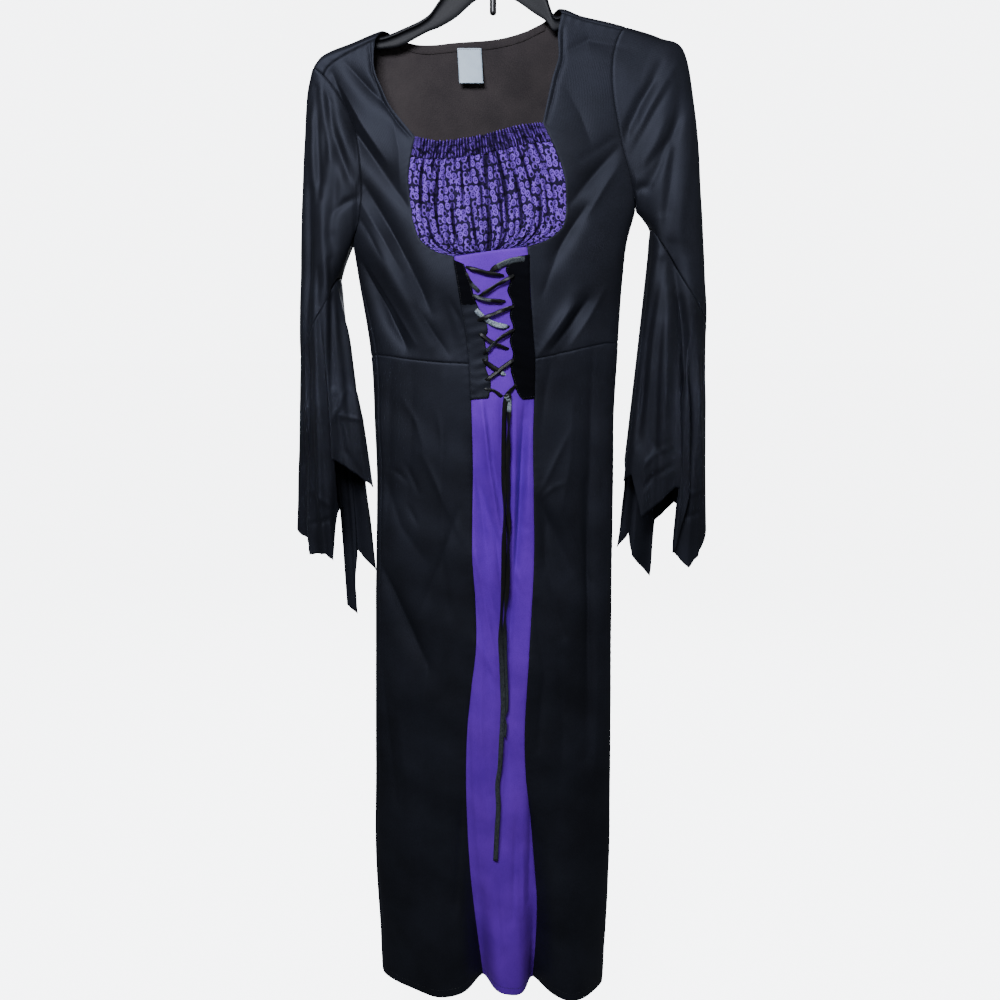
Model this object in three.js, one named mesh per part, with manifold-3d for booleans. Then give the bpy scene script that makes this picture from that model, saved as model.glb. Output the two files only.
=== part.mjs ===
// A witch costume dress on its hanger, in millimetres, +Z up. The wearer would face -Y, and the wearer's
// right side lies towards -X. The origin is the bearing point inside the top of the hanger's hook, and
// the plane Y = 0 runs through the middle of the hanger.
//
// The torso is one draped surface. A place on it has two coordinates: across goes from -1 at the left
// outline to 1 at the right one, and runs on past them to the other face; down is the way over the cloth
// from the shoulder ridge, below zero on the front and above zero on the back. Every panel of the dress
// is a patch of that surface between its own seams, thickened to a wall.
import * as THREE from "three";
import { mergeVertices } from "three/addons/utils/BufferGeometryUtils.js";
import Module from "manifold-3d";

const CLOTH = 1.2; // wall of the dress cloth
const SEAM_GAP = 0.3; // between two sewn pieces
const LAY_GAP = 0.35; // between a panel and what lies on it
const RIDGE_ROUND = 9; // how fast the cloth turns over at the shoulders
const PLACKET_WALL = 1.4;
const GATHERS = 24; // across the bust insert
const GATHER_DEPTH = 1.3;
const CASING_WAVES = 36;
const CASING_DEPTH = 1.1;
const INSERT_WALL = 1.5;
const CASING_WALL = 2;
const BINDING_WALL = 1;
const RIBBON_WIDTH = 6.4;
const RIBBON_WALL = 0.9;
const HOOK_BAR = 4; // radius of the hook's bar
const HOOK_BEND = 19; // inside radius of the hook's bend
const FLANGE_HALF = 5; // half the width of the hanger's top flange
const UNDER_CLOTH = 3.6; // from the cloth's ridge down to the hanger's arm that carries it

const HOOK_COLOUR = { color: 0x1c1c1f, roughness: 0.35, metalness: 0 };
const HANGER_COLOUR = { color: 0x2a2c33, roughness: 0.4, metalness: 0 };
const BLACK_KNIT = { color: 0x1b2026, roughness: 0.62, metalness: 0 };
const PURPLE_KNIT = { color: 0x5138a8, roughness: 0.55, metalness: 0 };
const PRINT_CLOTH = { color: 0x5a48a0, roughness: 0.6, metalness: 0 };
const BLACK_PILE = { color: 0x08080b, roughness: 0.95, metalness: 0 };
const BLACK_SATIN = { color: 0x2e2c2c, roughness: 0.35, metalness: 0 };
const LABEL_WHITE = { color: 0xc9d8e2, roughness: 0.5, metalness: 0 };

// Turns a heading and rows of numbers into rows with named columns.
function table(columns, rows) {
  const names = columns.split(" ");
  return rows.map((row) => Object.fromEntries(names.map((name, i) => [name, row[i]])));
}

// The top of the cloth over the hanger's arms, and the line that the neck spans.
const RIDGE = table("x z", [
  [-240, -219],
  [-219, -203],
  [-204, -187],
  [-167, -172],
  [-139, -161],
  [-111, -154],
  [0, -139],
  [81, -135],
  [105, -143],
  [141, -151],
  [178, -161],
  [213, -173],
  [238, -205],
]);

// The torso's outlines, and how far its front and back stand from the middle plane, at each height.
const TORSO = table("z left right front back", [
  [-130, -262, 262, 15, 14],
  [-170, -256, 244, 17, 16],
  [-206, -248, 222, 21, 19],
  [-240, -228, 204, 25, 21],
  [-300, -202, 187, 33, 24],
  [-350, -187, 178, 37, 26],
  [-368, -183, 175, 39, 27],
  [-404, -175, 166, 43, 28],
  [-455, -167, 161, 44, 29],
  [-540, -155, 157, 38, 27],
  [-625, -152, 154, 35, 27],
  [-702, -151, 155, 34, 28],
  [-860, -156, 156, 34, 30],
  [-1090, -161, 159, 36, 33],
  [-1222, -164, 160, 42, 38],
  [-1340, -160, 157, 53, 44],
  [-1420, -157, 152, 60, 48],
]);

// Soft troughs (depth below 0) and ridges of the cloth. Each runs through three points of one face.
const FOLDS = table("face x1 z1 x2 z2 x3 z3 width depth", [
  ["front", -176, -200, -147, -229, -120, -252, 11, -3],
  ["front", -192, -212, -162, -285, -105, -363, 13, -5],
  ["front", -159, -335, -122, -399, -77, -489, 14, -5],
  ["front", -162, -431, -134, -484, -109, -532, 12, -5],
  ["front", -148, -400, -112, -462, -80, -528, 11, 4],
  ["front", -64, -470, -56, -498, -48, -530, 9, -3],
  ["front", 92, -362, 122, -327, 148, -298, 12, -4],
  ["front", 73, -430, 92, -395, 112, -365, 11, -4],
  ["front", 84, -534, 100, -507, 118, -470, 11, -4],
  ["front", 68, -532, 84, -504, 102, -468, 10, 4],
  ["front", 124, -570, 124, -760, 125, -1075, 14, -4],
  ["front", -143, -820, -124, -870, -87, -949, 16, -4],
  ["front", 56, -721, 80, -770, 104, -830, 12, -3],
  ["front", -13, -622, -4, -680, 4, -745, 8, 4],
  ["front", 38, -622, 34, -710, 30, -810, 8, -4],
  ["front", -24, -650, -15, -739, -8, -810, 9, -4],
  ["back", -130, -260, -90, -330, -20, -420, 18, -5],
  ["back", 120, -240, 80, -320, 30, -400, 18, -5],
  ["back", -60, -480, -70, -700, -60, -1000, 20, -5],
  ["back", 60, -500, 75, -760, 80, -1050, 20, -5],
]);

// Flutes of the skirt, from a top point down to the hem, where each has its full depth.
const FLUTES = table("face xTop zTop xHem width depth", [
  ["front", -38, -1040, -17, 15, -42],
  ["front", 50, -1040, 61, 15, -42],
  ["front", -80, -1060, -74, 26, 6],
  ["front", 100, -1060, 106, 30, 14],
  ["back", -70, -900, -62, 24, -20],
  ["back", 70, -900, 58, 24, -18],
  ["back", 0, -1000, -4, 28, 8],
]);

// The lowest edge of the skirt. It hangs a little lower on the wearer's left.
const HEM = table("x z", [
  [-160, -1398],
  [-74, -1407],
  [-17, -1398],
  [30, -1405],
  [61, -1405],
  [106, -1413],
  [152, -1415],
]);
const HEM_LEVEL = -1405;

// Seams and free edges, as points [x, z] of the front unless they say otherwise.
const SHOULDER_SEAM_R = [
  [-140, -172],
  [-157, -179],
  [-179, -190],
  [-197, -202],
];
const SHOULDER_SEAM_L = [
  [81, -142],
  [95, -146],
  [112, -151],
  [140, -158],
];
const NECK_EDGE_R = [
  [-140, -172],
  [-143, -188],
  [-139, -210],
  [-124, -246],
  [-104, -271],
  [-93, -284],
];
const NECK_EDGE_L = [
  [81, -142],
  [77, -160],
  [77, -196],
  [71, -214],
  [59, -268],
];
const INSERT_EDGE_R = [
  [-93, -284],
  [-100, -321],
  [-101, -345],
  [-92, -396],
  [-77, -414],
  [-47, -424],
];
const INSERT_EDGE_L = [
  [59, -268],
  [80, -314],
  [87, -345],
  [85, -386],
  [69, -402],
  [41, -413],
];
const CENTRE_EDGE_R = [
  [-47, -424],
  [-38, -475],
  [-31, -529],
  [-29, -552],
];
const CENTRE_EDGE_L = [
  [41, -413],
  [44, -446],
  [48, -511],
  [51, -546],
];
const CENTRE_SKIRT_R = [
  [-29, -552],
  [-26, -658],
  [-27, -801],
  [-22, -902],
  [-34, -1017],
  [-37, -1102],
  [-33, -1228],
  [-17, -1398],
];
const CENTRE_SKIRT_L = [
  [51, -546],
  [50, -672],
  [52, -801],
  [46, -931],
  [41, -1069],
  [51, -1169],
  [61, -1289],
  [61, -1405],
];
const WAIST_R = [
  [-29, -552],
  [-70, -550],
  [-118, -545],
  [-146, -541],
];
const WAIST_L = [
  [51, -546],
  [77, -541],
  [121, -531],
  [156, -525],
];
const INSERT_TOP = [
  [-93, -284],
  [-67, -289],
  [-18, -284],
  [32, -271],
  [59, -268],
];
const BACK_NECK = [
  [-112, -166],
  [-85, -171],
  [-44, -168],
  [0, -165],
  [33, -158],
  [63, -145],
];

const NECK_OVER_RIDGE = { right: -131, left: 76 }; // where the neck edge crosses the shoulder ridge

// The side seam under the wearer's right arm comes forward of the outline; the other runs along it.
const SIDE_SEAM_R = table("z across", [
  [-404, -1],
  [-480, -0.86],
  [-545, -0.8],
  [-700, -0.82],
  [-1400, -0.88],
]);

// Each sleeve's loops from the armhole to the elbow seam: its outer and inner points, how far the front
// and back stand off, and how far the loop bows towards the neck. The armhole's own stand-off is the torso's.
const SLEEVE_R = {
  side: "r",
  seamTurn: 25 / 360,
  skew: 0.25,
  rows: table("outerX outerZ innerX innerZ front back bow", [
    [-217, -202, -175, -404, 15, 13, 34],
    [-225, -232, -177, -411, 22, 19, 30],
    [-230, -290, -180, -420, 24, 20, 21],
    [-236, -370, -184, -431, 26, 22, 11],
    [-241, -460, -187, -440, 27, 23, 4],
    [-244, -545, -190, -448, 27, 23, 0],
  ]),
};
const SLEEVE_L = {
  side: "l",
  seamTurn: 18 / 360,
  skew: 0.9,
  rows: table("outerX outerZ innerX innerZ front back bow", [
    [159, -156, 175, -367, 12, 11, -18],
    [200, -167.5, 179, -371, 20, 18, -16],
    [230, -184, 183, -375, 23, 20, -12],
    [246, -262, 187, -380, 25, 21, -8],
    [258, -377, 191, -384, 27, 23, -3],
    [267, -505, 194, -389, 27, 23, 0],
  ]),
};

// The flounces' torn-looking hems, once round from the outer edge over the front: where each corner
// hangs. turn is the share of the way round.
const FLOUNCE_HEM_R = table("turn x y z", [
  [0, -257, 0, -766],
  [0.06, -244, -12, -777],
  [0.12, -237, -22, -796],
  [0.18, -216, -27, -794],
  [0.23, -206, -25, -804],
  [0.28, -199, -18, -742],
  [0.32, -203, -24, -672],
  [0.39, -178, -25, -688],
  [0.45, -152, -19, -709],
  [0.5, -172, -2, -672],
  [0.57, -156, 16, -826],
  [0.63, -184, 20, -799],
  [0.69, -184, 22, -889],
  [0.735, -198, 23, -876],
  [0.79, -200, 24, -742],
  [0.86, -226, 22, -768],
  [0.93, -247, 12, -752],
]);
const FLOUNCE_HEM_L = table("turn x y z", [
  [0, 278, 0, -768],
  [0.06, 264, -14, -800],
  [0.11, 251, -20, -814],
  [0.16, 232, -24, -793],
  [0.21, 250, -26, -712],
  [0.27, 230, -27, -708],
  [0.33, 206, -26, -732],
  [0.38, 189, -22, -747],
  [0.42, 177, -15, -692],
  [0.46, 165, -8, -702],
  [0.51, 172, 2, -668],
  [0.57, 163, 12, -794],
  [0.62, 178, 17, -776],
  [0.66, 183, 20, -807],
  [0.71, 210, 23, -837],
  [0.76, 214, 24, -760],
  [0.83, 238, 22, -736],
  [0.92, 264, 12, -752],
]);

// The plackets, each between its outer and inner edge.
const PLACKET_R = {
  outer: [
    [-45, -430],
    [-36, -480],
    [-30, -529],
    [-27, -596],
  ],
  inner: [
    [-35, -433],
    [-21, -479],
    [-6, -508],
    [-8, -548],
    [-3, -573],
    [-6, -594],
  ],
};
const PLACKET_L = {
  outer: [
    [44, -422],
    [44, -446],
    [48, -511],
    [51, -547],
    [51, -595],
  ],
  inner: [
    [30, -424],
    [15, -440],
    [20, -456],
    [22, -493],
    [22, -558],
    [25, -582],
    [33, -596],
  ],
};

// The lace between the plackets: each run's two ends and middle, and how many ribbons lie under it.
const LACE = table("x1 z1 x2 z2 x3 z3 level", [
  [42, -427, 21, -430, 0, -441, 1],
  [-29, -436, -10, -443, 13, -447, 2],
  [-30, -441, -27, -455, -15, -467, 1],
  [25, -446, 6, -457, -13, -471, 3],
  [-23, -469, -7, -475, 15, -477, 2],
  [27, -482, 4, -490, -16, -500, 2],
  [-21, -483, -5, -501, 20, -508, 1],
  [28, -509, 11, -519, -8, -540, 2],
  [-15, -513, -2, -525, 20, -535, 1],
  [27, -545, 8, -559, -8, -575, 2],
  [-11, -546, 0, -556, 16, -566, 1],
  [30, -576, 21, -585, 19, -591, 1],
  [-10, -580, 2, -586, 13, -594, 1],
]);

// The two loose tails of the lace, from the knot down: points [x, z] and how far each hangs before the cloth.
const TAIL_LONG = {
  lift: 5.6,
  points: [
    [16, -590],
    [14, -606],
    [13, -641],
    [13, -720],
    [13, -797],
    [12, -844],
    [9, -906],
    [11, -959],
    [12, -1000],
    [10, -1042],
    [8, -1080],
    [5, -1104],
    [6, -1136],
    [4, -1169],
    [3, -1192],
    [2, -1211],
  ],
};
const TAIL_SHORT = {
  lift: 4.3,
  points: [
    [19, -589],
    [19, -606],
    [18, -641],
    [19, -720],
    [18, -797],
    [17, -844],
    [14, -906],
    [15, -959],
    [16, -984],
    [15, -1014],
    [13, -1038],
  ],
};

const LABEL = { x: -29, top: -175, width: 29, height: 41, wall: 1, stand: 4.1, curl: 5 };

// The hanger's bare neck between the shoulders: its top edge and how deep its web reaches. Beyond the
// neck each arm runs just under the cloth's ridge, to ARM_ENDS.
const HANGER_NECK = table("x z web", [
  [-141, -165.4, 14],
  [-131, -165, 14],
  [-111, -157.8, 18],
  [-78, -142, 18],
  [-64, -125, 30],
  [-44, -100, 44],
  [-20, -83, 42],
  [0, -78, 42],
  [24, -82, 42],
  [50, -98, 42],
  [63, -118, 30],
  [72, -140.8, 18],
  [85, -140, 14],
]);
const ARM_ENDS = { right: -200, left: 212, web: 8, reach: 60 };

const clampTo = (value, low, high) => Math.min(Math.max(value, low), high);
const mix = (a, b, share) => a + (b - a) * share;

// A smooth curve through the named column of a table, at one value of its key column.
function look(rows, key, column, value) {
  const rising = rows[rows.length - 1][key] > rows[0][key] ? 1 : -1;
  const first = rows[0];
  const last = rows[rows.length - 1];
  if ((value - first[key]) * rising <= 0) return first[column];
  if ((value - last[key]) * rising >= 0) return last[column];
  let i = 0;
  while ((value - rows[i + 1][key]) * rising > 0) i++;
  const slope = (k) => {
    const a = rows[Math.max(k - 1, 0)];
    const b = rows[Math.min(k + 1, rows.length - 1)];
    return (b[column] - a[column]) / (b[key] - a[key]);
  };
  const wide = rows[i + 1][key] - rows[i][key];
  const t = (value - rows[i][key]) / wide;
  const a = rows[i][column];
  const b = rows[i + 1][column];
  const bend = t * (1 - t);
  return mix(a, b, t * t * (3 - 2 * t)) + bend * wide * ((1 - t) * slope(i) - t * slope(i + 1));
}

// Evenly spaced points along a smooth curve through points of two or three numbers.
function along(points, steps) {
  const wide = points[0].length;
  const corners = points.map((p) => new THREE.Vector3(p[0], p[1], p[2] ?? 0));
  const curve = new THREE.CatmullRomCurve3(corners, false, "centripetal");
  return curve.getSpacedPoints(steps).map((p) => p.toArray().slice(0, wide));
}

const ridgeAt = (x) => look(RIDGE, "x", "z", x);

// How far the cloth has gone down when it has run this far from the ridge, and the other way round.
function dropOf(down) {
  const quarter = (RIDGE_ROUND * Math.PI) / 2;
  const run = Math.abs(down);
  return run < quarter ? RIDGE_ROUND * (1 - Math.cos(run / RIDGE_ROUND)) : RIDGE_ROUND + run - quarter;
}
function runOf(drop) {
  const quarter = (RIDGE_ROUND * Math.PI) / 2;
  if (drop <= 0) return 0;
  return drop < RIDGE_ROUND ? RIDGE_ROUND * Math.acos(1 - drop / RIDGE_ROUND) : quarter + drop - RIDGE_ROUND;
}

// The distance from a point to a path of three points, and how near the path's middle it is.
function besidePath(x, z, fold) {
  const corners = [
    [fold.x1, fold.z1],
    [fold.x2, fold.z2],
    [fold.x3, fold.z3],
  ];
  let best = { distance: Infinity, share: 0 };
  for (let i = 0; i < 2; i++) {
    const [ax, az] = corners[i];
    const [bx, bz] = corners[i + 1];
    const length2 = (bx - ax) ** 2 + (bz - az) ** 2;
    const t = clampTo(((x - ax) * (bx - ax) + (z - az) * (bz - az)) / length2, 0, 1);
    const distance = Math.hypot(x - mix(ax, bx, t), z - mix(az, bz, t));
    if (distance < best.distance) best = { distance, share: (i + t) / 2 };
  }
  return best;
}

// How far the folds and flutes move the cloth outwards at a point of one face.
function foldLift(face, x, z) {
  let lift = 0;
  for (const fold of FOLDS) {
    if (fold.face !== face) continue;
    const { distance, share } = besidePath(x, z, fold);
    const fading = Math.sin(Math.PI * mix(0.12, 0.88, share));
    lift += fold.depth * Math.exp(-((distance / fold.width) ** 2)) * fading;
  }
  for (const flute of FLUTES) {
    if (flute.face !== face || z > flute.zTop) continue;
    const share = (flute.zTop - z) / (flute.zTop - HEM_LEVEL);
    const middle = mix(flute.xTop, flute.xHem, share);
    lift += flute.depth * share ** 2 * Math.exp(-(((x - middle) / flute.width) ** 2));
  }
  return lift;
}

// The bare torso surface at (across, down), before its folds.
function bareTorso(across, down) {
  const angle = (across * Math.PI) / 2;
  const drop = dropOf(down);
  const round = Math.sin(Math.min(Math.abs(down) / RIDGE_ROUND, Math.PI / 2));
  let x = Math.sin(angle) * 200;
  let z = ridgeAt(x) - drop;
  for (let i = 0; i < 8; i++) {
    const left = look(TORSO, "z", "left", z);
    const right = look(TORSO, "z", "right", z);
    x = (left + right) / 2 + ((right - left) / 2) * Math.sin(angle);
    z = ridgeAt(x) - drop;
  }
  const side = down < 0 ? -1 : 1;
  const depth = look(TORSO, "z", down < 0 ? "front" : "back", z);
  return new THREE.Vector3(x, side * depth * Math.cos(angle) * round, z);
}

// Past an outline the cloth is on the other face, with that face's own depth.
function torso(across, down) {
  const over = Math.abs(across) > 1;
  if (!over) return bareTorso(across, down);
  const mirrored = (across < 0 ? -2 : 2) - across;
  return bareTorso(mirrored, -down);
}

// The unit normal of the draped surface, pointing out of the dress.
function torsoNormal(across, down) {
  const step = 0.002;
  const stepDown = 0.4;
  const a = torso(across - step, down);
  const b = torso(across + step, down);
  const c = torso(across, down - stepDown);
  const d = torso(across, down + stepDown);
  return b.sub(a).cross(d.sub(c)).normalize();
}

// A point of the draped surface with its folds, and its normal.
function cloth(across, down, lift = 0) {
  const point = torso(across, down);
  const normal = torsoNormal(across, down);
  const folds = foldLift(point.y < 0 ? "front" : "back", point.x, point.z);
  const edge = Math.min(Math.abs(point.y) / 12, 1);
  return { point: point.addScaledVector(normal, folds * edge + lift), normal };
}

// The first surface coordinate of the cloth at x, this far over from the ridge.
function acrossAt(x, down) {
  const z = ridgeAt(x) - dropOf(down);
  const left = look(TORSO, "z", "left", z);
  const right = look(TORSO, "z", "right", z);
  const share = clampTo((x - (left + right) / 2) / ((right - left) / 2), -1, 1);
  return (Math.asin(share) * 2) / Math.PI;
}

// The surface coordinates of a point [x, z] of the front or the back.
function spread([x, z], face = "front") {
  const down = runOf(ridgeAt(x) - z);
  return [acrossAt(x, down), face === "front" ? -down : down];
}

// A closed wall between a grid of outer points and one of inner points, rows by columns.
// Rings close in the column direction.
function wall(outer, inner, ring = false) {
  const rows = outer.length;
  const columns = outer[0].length;
  const positions = [...outer.flat(), ...inner.flat()].flatMap((p) => p.toArray());
  const id = (r, c, layer) => layer * rows * columns + r * columns + (c % columns);
  const faces = [];
  const quad = (a, b, c, d) => faces.push(a, b, c, a, c, d);
  const across = ring ? columns : columns - 1;
  for (let r = 0; r < rows - 1; r++) {
    for (let c = 0; c < across; c++) {
      quad(id(r, c, 0), id(r, c + 1, 0), id(r + 1, c + 1, 0), id(r + 1, c, 0));
      quad(id(r, c, 1), id(r + 1, c, 1), id(r + 1, c + 1, 1), id(r, c + 1, 1));
    }
  }
  for (let c = 0; c < across; c++) {
    quad(id(0, c + 1, 0), id(0, c, 0), id(0, c, 1), id(0, c + 1, 1));
    quad(id(rows - 1, c, 0), id(rows - 1, c + 1, 0), id(rows - 1, c + 1, 1), id(rows - 1, c, 1));
  }
  for (let r = 0; r < rows - 1 && !ring; r++) {
    quad(id(r, 0, 0), id(r + 1, 0, 0), id(r + 1, 0, 1), id(r, 0, 1));
    quad(id(r + 1, columns - 1, 0), id(r, columns - 1, 0), id(r, columns - 1, 1), id(r + 1, columns - 1, 1));
  }
  return facingOut(positions, faces);
}

// A geometry from points and faces, turned so that its faces point out.
function facingOut(positions, faces) {
  const geometry = new THREE.BufferGeometry();
  geometry.setAttribute("position", new THREE.Float32BufferAttribute(positions, 3));
  const corner = (i) => new THREE.Vector3().fromArray(positions, faces[i] * 3);
  let volume = 0;
  for (let i = 0; i < faces.length; i += 3) {
    volume += corner(i).dot(corner(i + 1).cross(corner(i + 2)));
  }
  if (volume < 0) {
    for (let i = 0; i < faces.length; i += 3) [faces[i + 1], faces[i + 2]] = [faces[i + 2], faces[i + 1]];
  }
  geometry.setIndex(faces);
  geometry.computeVertexNormals();
  return geometry;
}

// Moves the edges of a grid of { point, normal } inwards by half a seam gap.
function drawIn(grid, ring = false) {
  const rows = grid.length;
  const columns = grid[0].length;
  const moved = grid.map((row) => row.map((cell) => ({ ...cell, point: cell.point.clone() })));
  const pull = (r, c, towardsR, towardsC) => {
    const way = grid[towardsR][towardsC].point.clone().sub(grid[r][c].point).normalize();
    moved[r][c].point.addScaledVector(way, SEAM_GAP * (ring ? 0.75 : 0.55));
  };
  for (let c = 0; c < columns; c++) {
    pull(0, c, 1, c);
    pull(rows - 1, c, rows - 2, c);
  }
  for (let r = 0; r < rows && !ring; r++) {
    pull(r, 0, r, 1);
    pull(r, columns - 1, r, columns - 2);
  }
  return moved;
}

const outerOf = (grid) => grid.map((row) => row.map((cell) => cell.point));
const inside = ({ point, normal }, thick) => point.clone().addScaledVector(normal, -thick);
const innerOf = (grid, thick) => grid.map((row) => row.map((cell) => inside(cell, thick)));

// The wall of a grid of { point, normal }: the outer face on the points, the inner one a wall further in.
function wallOf(grid, thick = CLOTH, ring = false) {
  const cells = drawIn(grid, ring);
  return wall(outerOf(cells), innerOf(cells, thick), ring);
}

// A patch between four edges given in surface coordinates. The left and right edges have the same number
// of points, and so have the top and bottom ones. The shape of the top and bottom dies out with fade.
function patch(top, bottom, left, right, fade = 1) {
  const rows = left.length - 1;
  const columns = top.length - 1;
  return left.map((_, r) =>
    top.map((__, c) => {
      const s = c / columns;
      const t = r / rows;
      return [0, 1].map((k) => {
        const shapeOf = (edge) => edge[c][k] - mix(edge[0][k], edge[columns][k], s);
        const ends = mix(left[r][k], right[r][k], s);
        return ends + shapeOf(top) * (1 - t) ** fade + shapeOf(bottom) * t ** fade;
      });
    }),
  );
}
const clothGrid = (coordinates, lift = 0) => coordinates.map((row) => row.map(([a, d]) => cloth(a, d, lift)));

// A row of surface coordinates between two points, evenly stepped.
const between = (a, b, steps) =>
  Array.from({ length: steps + 1 }, (_, i) => [mix(a[0], b[0], i / steps), mix(a[1], b[1], i / steps)]);

// The edge points of several curves joined end to end, each with its own number of steps.
function joined(...parts) {
  return parts.flatMap(([points, steps], i) => along(points, steps).slice(i ? 1 : 0));
}

const NECK_STEPS = 5;
const CASING_STEPS = 1;
const INSERT_STEPS = 6;
const CENTRE_STEPS = 4;
const ARMHOLE_STEPS = 9;
const SIDE_STEPS = NECK_STEPS + CASING_STEPS + INSERT_STEPS + CENTRE_STEPS - ARMHOLE_STEPS;
const OVER_SHOULDER = [0.945, 0.975, 1]; // turns of the armhole where the cloth rolls over the ridge
const BACK_ARMHOLE_STEPS = 7;
const SHOULDER_STEPS = 8;
const BACK_NECK_STEPS = 12;
const SKIRT_STEPS = 14;
const CENTRE_COLUMNS = 8;

// One point of a sleeve loop. turn is the share of the way round: 0 outer, 0.25 front, 0.5 inner, 0.75 back.
function sleeveXZ(sleeve, row, turn) {
  const angle = turn * 2 * Math.PI;
  const bow = row.bow * Math.abs(Math.sin(angle)) ** 1.5 * (1 + sleeve.skew * Math.cos(angle));
  const x = (row.outerX + row.innerX) / 2 + ((row.outerX - row.innerX) / 2) * Math.cos(angle) + bow;
  const z = (row.outerZ + row.innerZ) / 2 + ((row.outerZ - row.innerZ) / 2) * Math.cos(angle);
  return [x, z];
}

// The turns of the armhole's points, from the shoulder seam over the front to the underarm, and back up.
function armholeTurns(sleeve) {
  const start = sleeve.seamTurn;
  const front = Array.from({ length: ARMHOLE_STEPS + 1 }, (_, i) => mix(start, 0.5, i / ARMHOLE_STEPS));
  const back = Array.from({ length: BACK_ARMHOLE_STEPS }, (_, i) =>
    mix(0.5, OVER_SHOULDER[0], i / BACK_ARMHOLE_STEPS),
  );
  back.push(...OVER_SHOULDER, 1 + start / 2, 1 + start);
  return { front, back };
}

// The same turns once round, each once.
function ringTurns(sleeve) {
  const { front, back } = armholeTurns(sleeve);
  return [...front, ...back.slice(1, -1)];
}

// Surface coordinates of the armhole's point at a turn. Its underarm lies on the outline, where the two
// faces meet.
function armholeAt(sleeve, turn, underarmFace = "front") {
  const front = turn < 0.5 || turn > 1;
  const face = turn === 0.5 ? underarmFace : front ? "front" : "back";
  return spread(sleeveXZ(sleeve, sleeve.rows[0], turn), face);
}

// The front's edges, each a list of surface coordinates, for the wearer's right (r) or left (l) half.
function frontEdges(sleeve, shoulder, neck, insert, centre, waist) {
  const right = sleeve.side === "r";
  const armhole = armholeTurns(sleeve).front.map((turn) => armholeAt(sleeve, turn));
  const underarm = armhole[armhole.length - 1];
  const waistEnd = spread(waist[waist.length - 1]);
  if (!right) waistEnd[0] = 1;
  const side = between(underarm, waistEnd, SIDE_STEPS).slice(1);
  side.forEach((p) => {
    const z = ridgeAt(right ? -165 : 165) - dropOf(p[1]);
    if (right) p[0] = look(SIDE_SEAM_R, "z", "across", z);
    else p[0] = 1;
  });
  const outer = [...armhole, ...side];
  const innerXZ = joined(
    [neck, NECK_STEPS],
    [insert, CASING_STEPS + INSERT_STEPS],
    [centre, CENTRE_STEPS],
  );
  const inner = innerXZ.map((p) => spread(p));
  const top = along(shoulder, SHOULDER_STEPS).map((p) => spread(p));
  top[SHOULDER_STEPS] = outer[0];
  const bottom = along(waist, SHOULDER_STEPS).map((p) => spread(p));
  bottom[SHOULDER_STEPS] = outer[outer.length - 1];
  return { top, bottom, inner, outer };
}

const shoulderTo = (seam, sleeve) => [...seam, sleeveXZ(sleeve, sleeve.rows[0], sleeve.seamTurn)];
const RIGHT = frontEdges(
  SLEEVE_R,
  shoulderTo(SHOULDER_SEAM_R, SLEEVE_R),
  NECK_EDGE_R,
  INSERT_EDGE_R,
  CENTRE_EDGE_R,
  WAIST_R,
);
const LEFT = frontEdges(
  SLEEVE_L,
  shoulderTo(SHOULDER_SEAM_L, SLEEVE_L),
  NECK_EDGE_L,
  INSERT_EDGE_L,
  CENTRE_EDGE_L,
  WAIST_L,
);

const frontBodice = (half) => clothGrid(patch(half.top, half.bottom, half.inner, half.outer));

// The back bodice's coordinates run on past the outline to the side seam of the front.
function backEdges() {
  const armhole = (sleeve) =>
    armholeTurns(sleeve)
      .back.slice()
      .reverse()
      .map((turn) => armholeAt(sleeve, turn, "back"));
  const seamSide = (half, sign) =>
    half.outer.slice(ARMHOLE_STEPS + 1).map(([across, down]) => [sign * 2 - across, -down]);
  const left = [...armhole(SLEEVE_R), ...seamSide(RIGHT, -1)];
  const right = [...armhole(SLEEVE_L), ...seamSide(LEFT, 1)];
  const runs = [
    [SHOULDER_SEAM_R[0][0], RIGHT.top[0][1]],
    [NECK_OVER_RIDGE.right, 0],
    ...BACK_NECK.map(([x, z]) => [x, runOf(ridgeAt(x) - z)]),
    [NECK_OVER_RIDGE.left, 0],
    [SHOULDER_SEAM_L[0][0], LEFT.top[0][1]],
  ];
  const neckLine = along(runs, BACK_NECK_STEPS).map(([x, down]) => [acrossAt(x, down), down]);
  neckLine[0] = RIGHT.top[0];
  const top = [
    ...RIGHT.top.slice().reverse().slice(0, -1),
    ...neckLine.slice(0, -1),
    ...LEFT.top,
  ];
  const bottom = between(left[left.length - 1], right[right.length - 1], top.length - 1);
  return { top, bottom, left, right };
}
const BACK = backEdges();

// The back bodice's rows over the ridge, then a plain patch from just behind it down to the waist.
const RIDGE_ROWS = 4;
const BEHIND_RIDGE = 14; // how far over the cloth the last of those rows is
const BACK_FADE = 5; // how soon the neck's curve dies out in the rows below it
function backBodice() {
  const last = BACK.top.length - 1;
  const yoke = BACK.top.map(([across, down]) => [across, Math.max(BEHIND_RIDGE, down + 6)]);
  const overRidge = (top) => [top, top / 2, 0, BEHIND_RIDGE * 0.45];
  const rows = Array.from({ length: RIDGE_ROWS }, (_, r) =>
    BACK.top.map(([across, down], c) => {
      if (c === 0) return BACK.left[r];
      if (c === last) return BACK.right[r];
      return [across, down < 0 ? overRidge(down)[r] : mix(down, yoke[c][1], r / RIDGE_ROWS)];
    }),
  );
  yoke[0] = BACK.left[RIDGE_ROWS];
  yoke[last] = BACK.right[RIDGE_ROWS];
  const leftBelow = BACK.left.slice(RIDGE_ROWS);
  const rightBelow = BACK.right.slice(RIDGE_ROWS);
  const below = patch(yoke, BACK.bottom, leftBelow, rightBelow, BACK_FADE);
  return clothGrid([...rows, ...below]);
}

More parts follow.
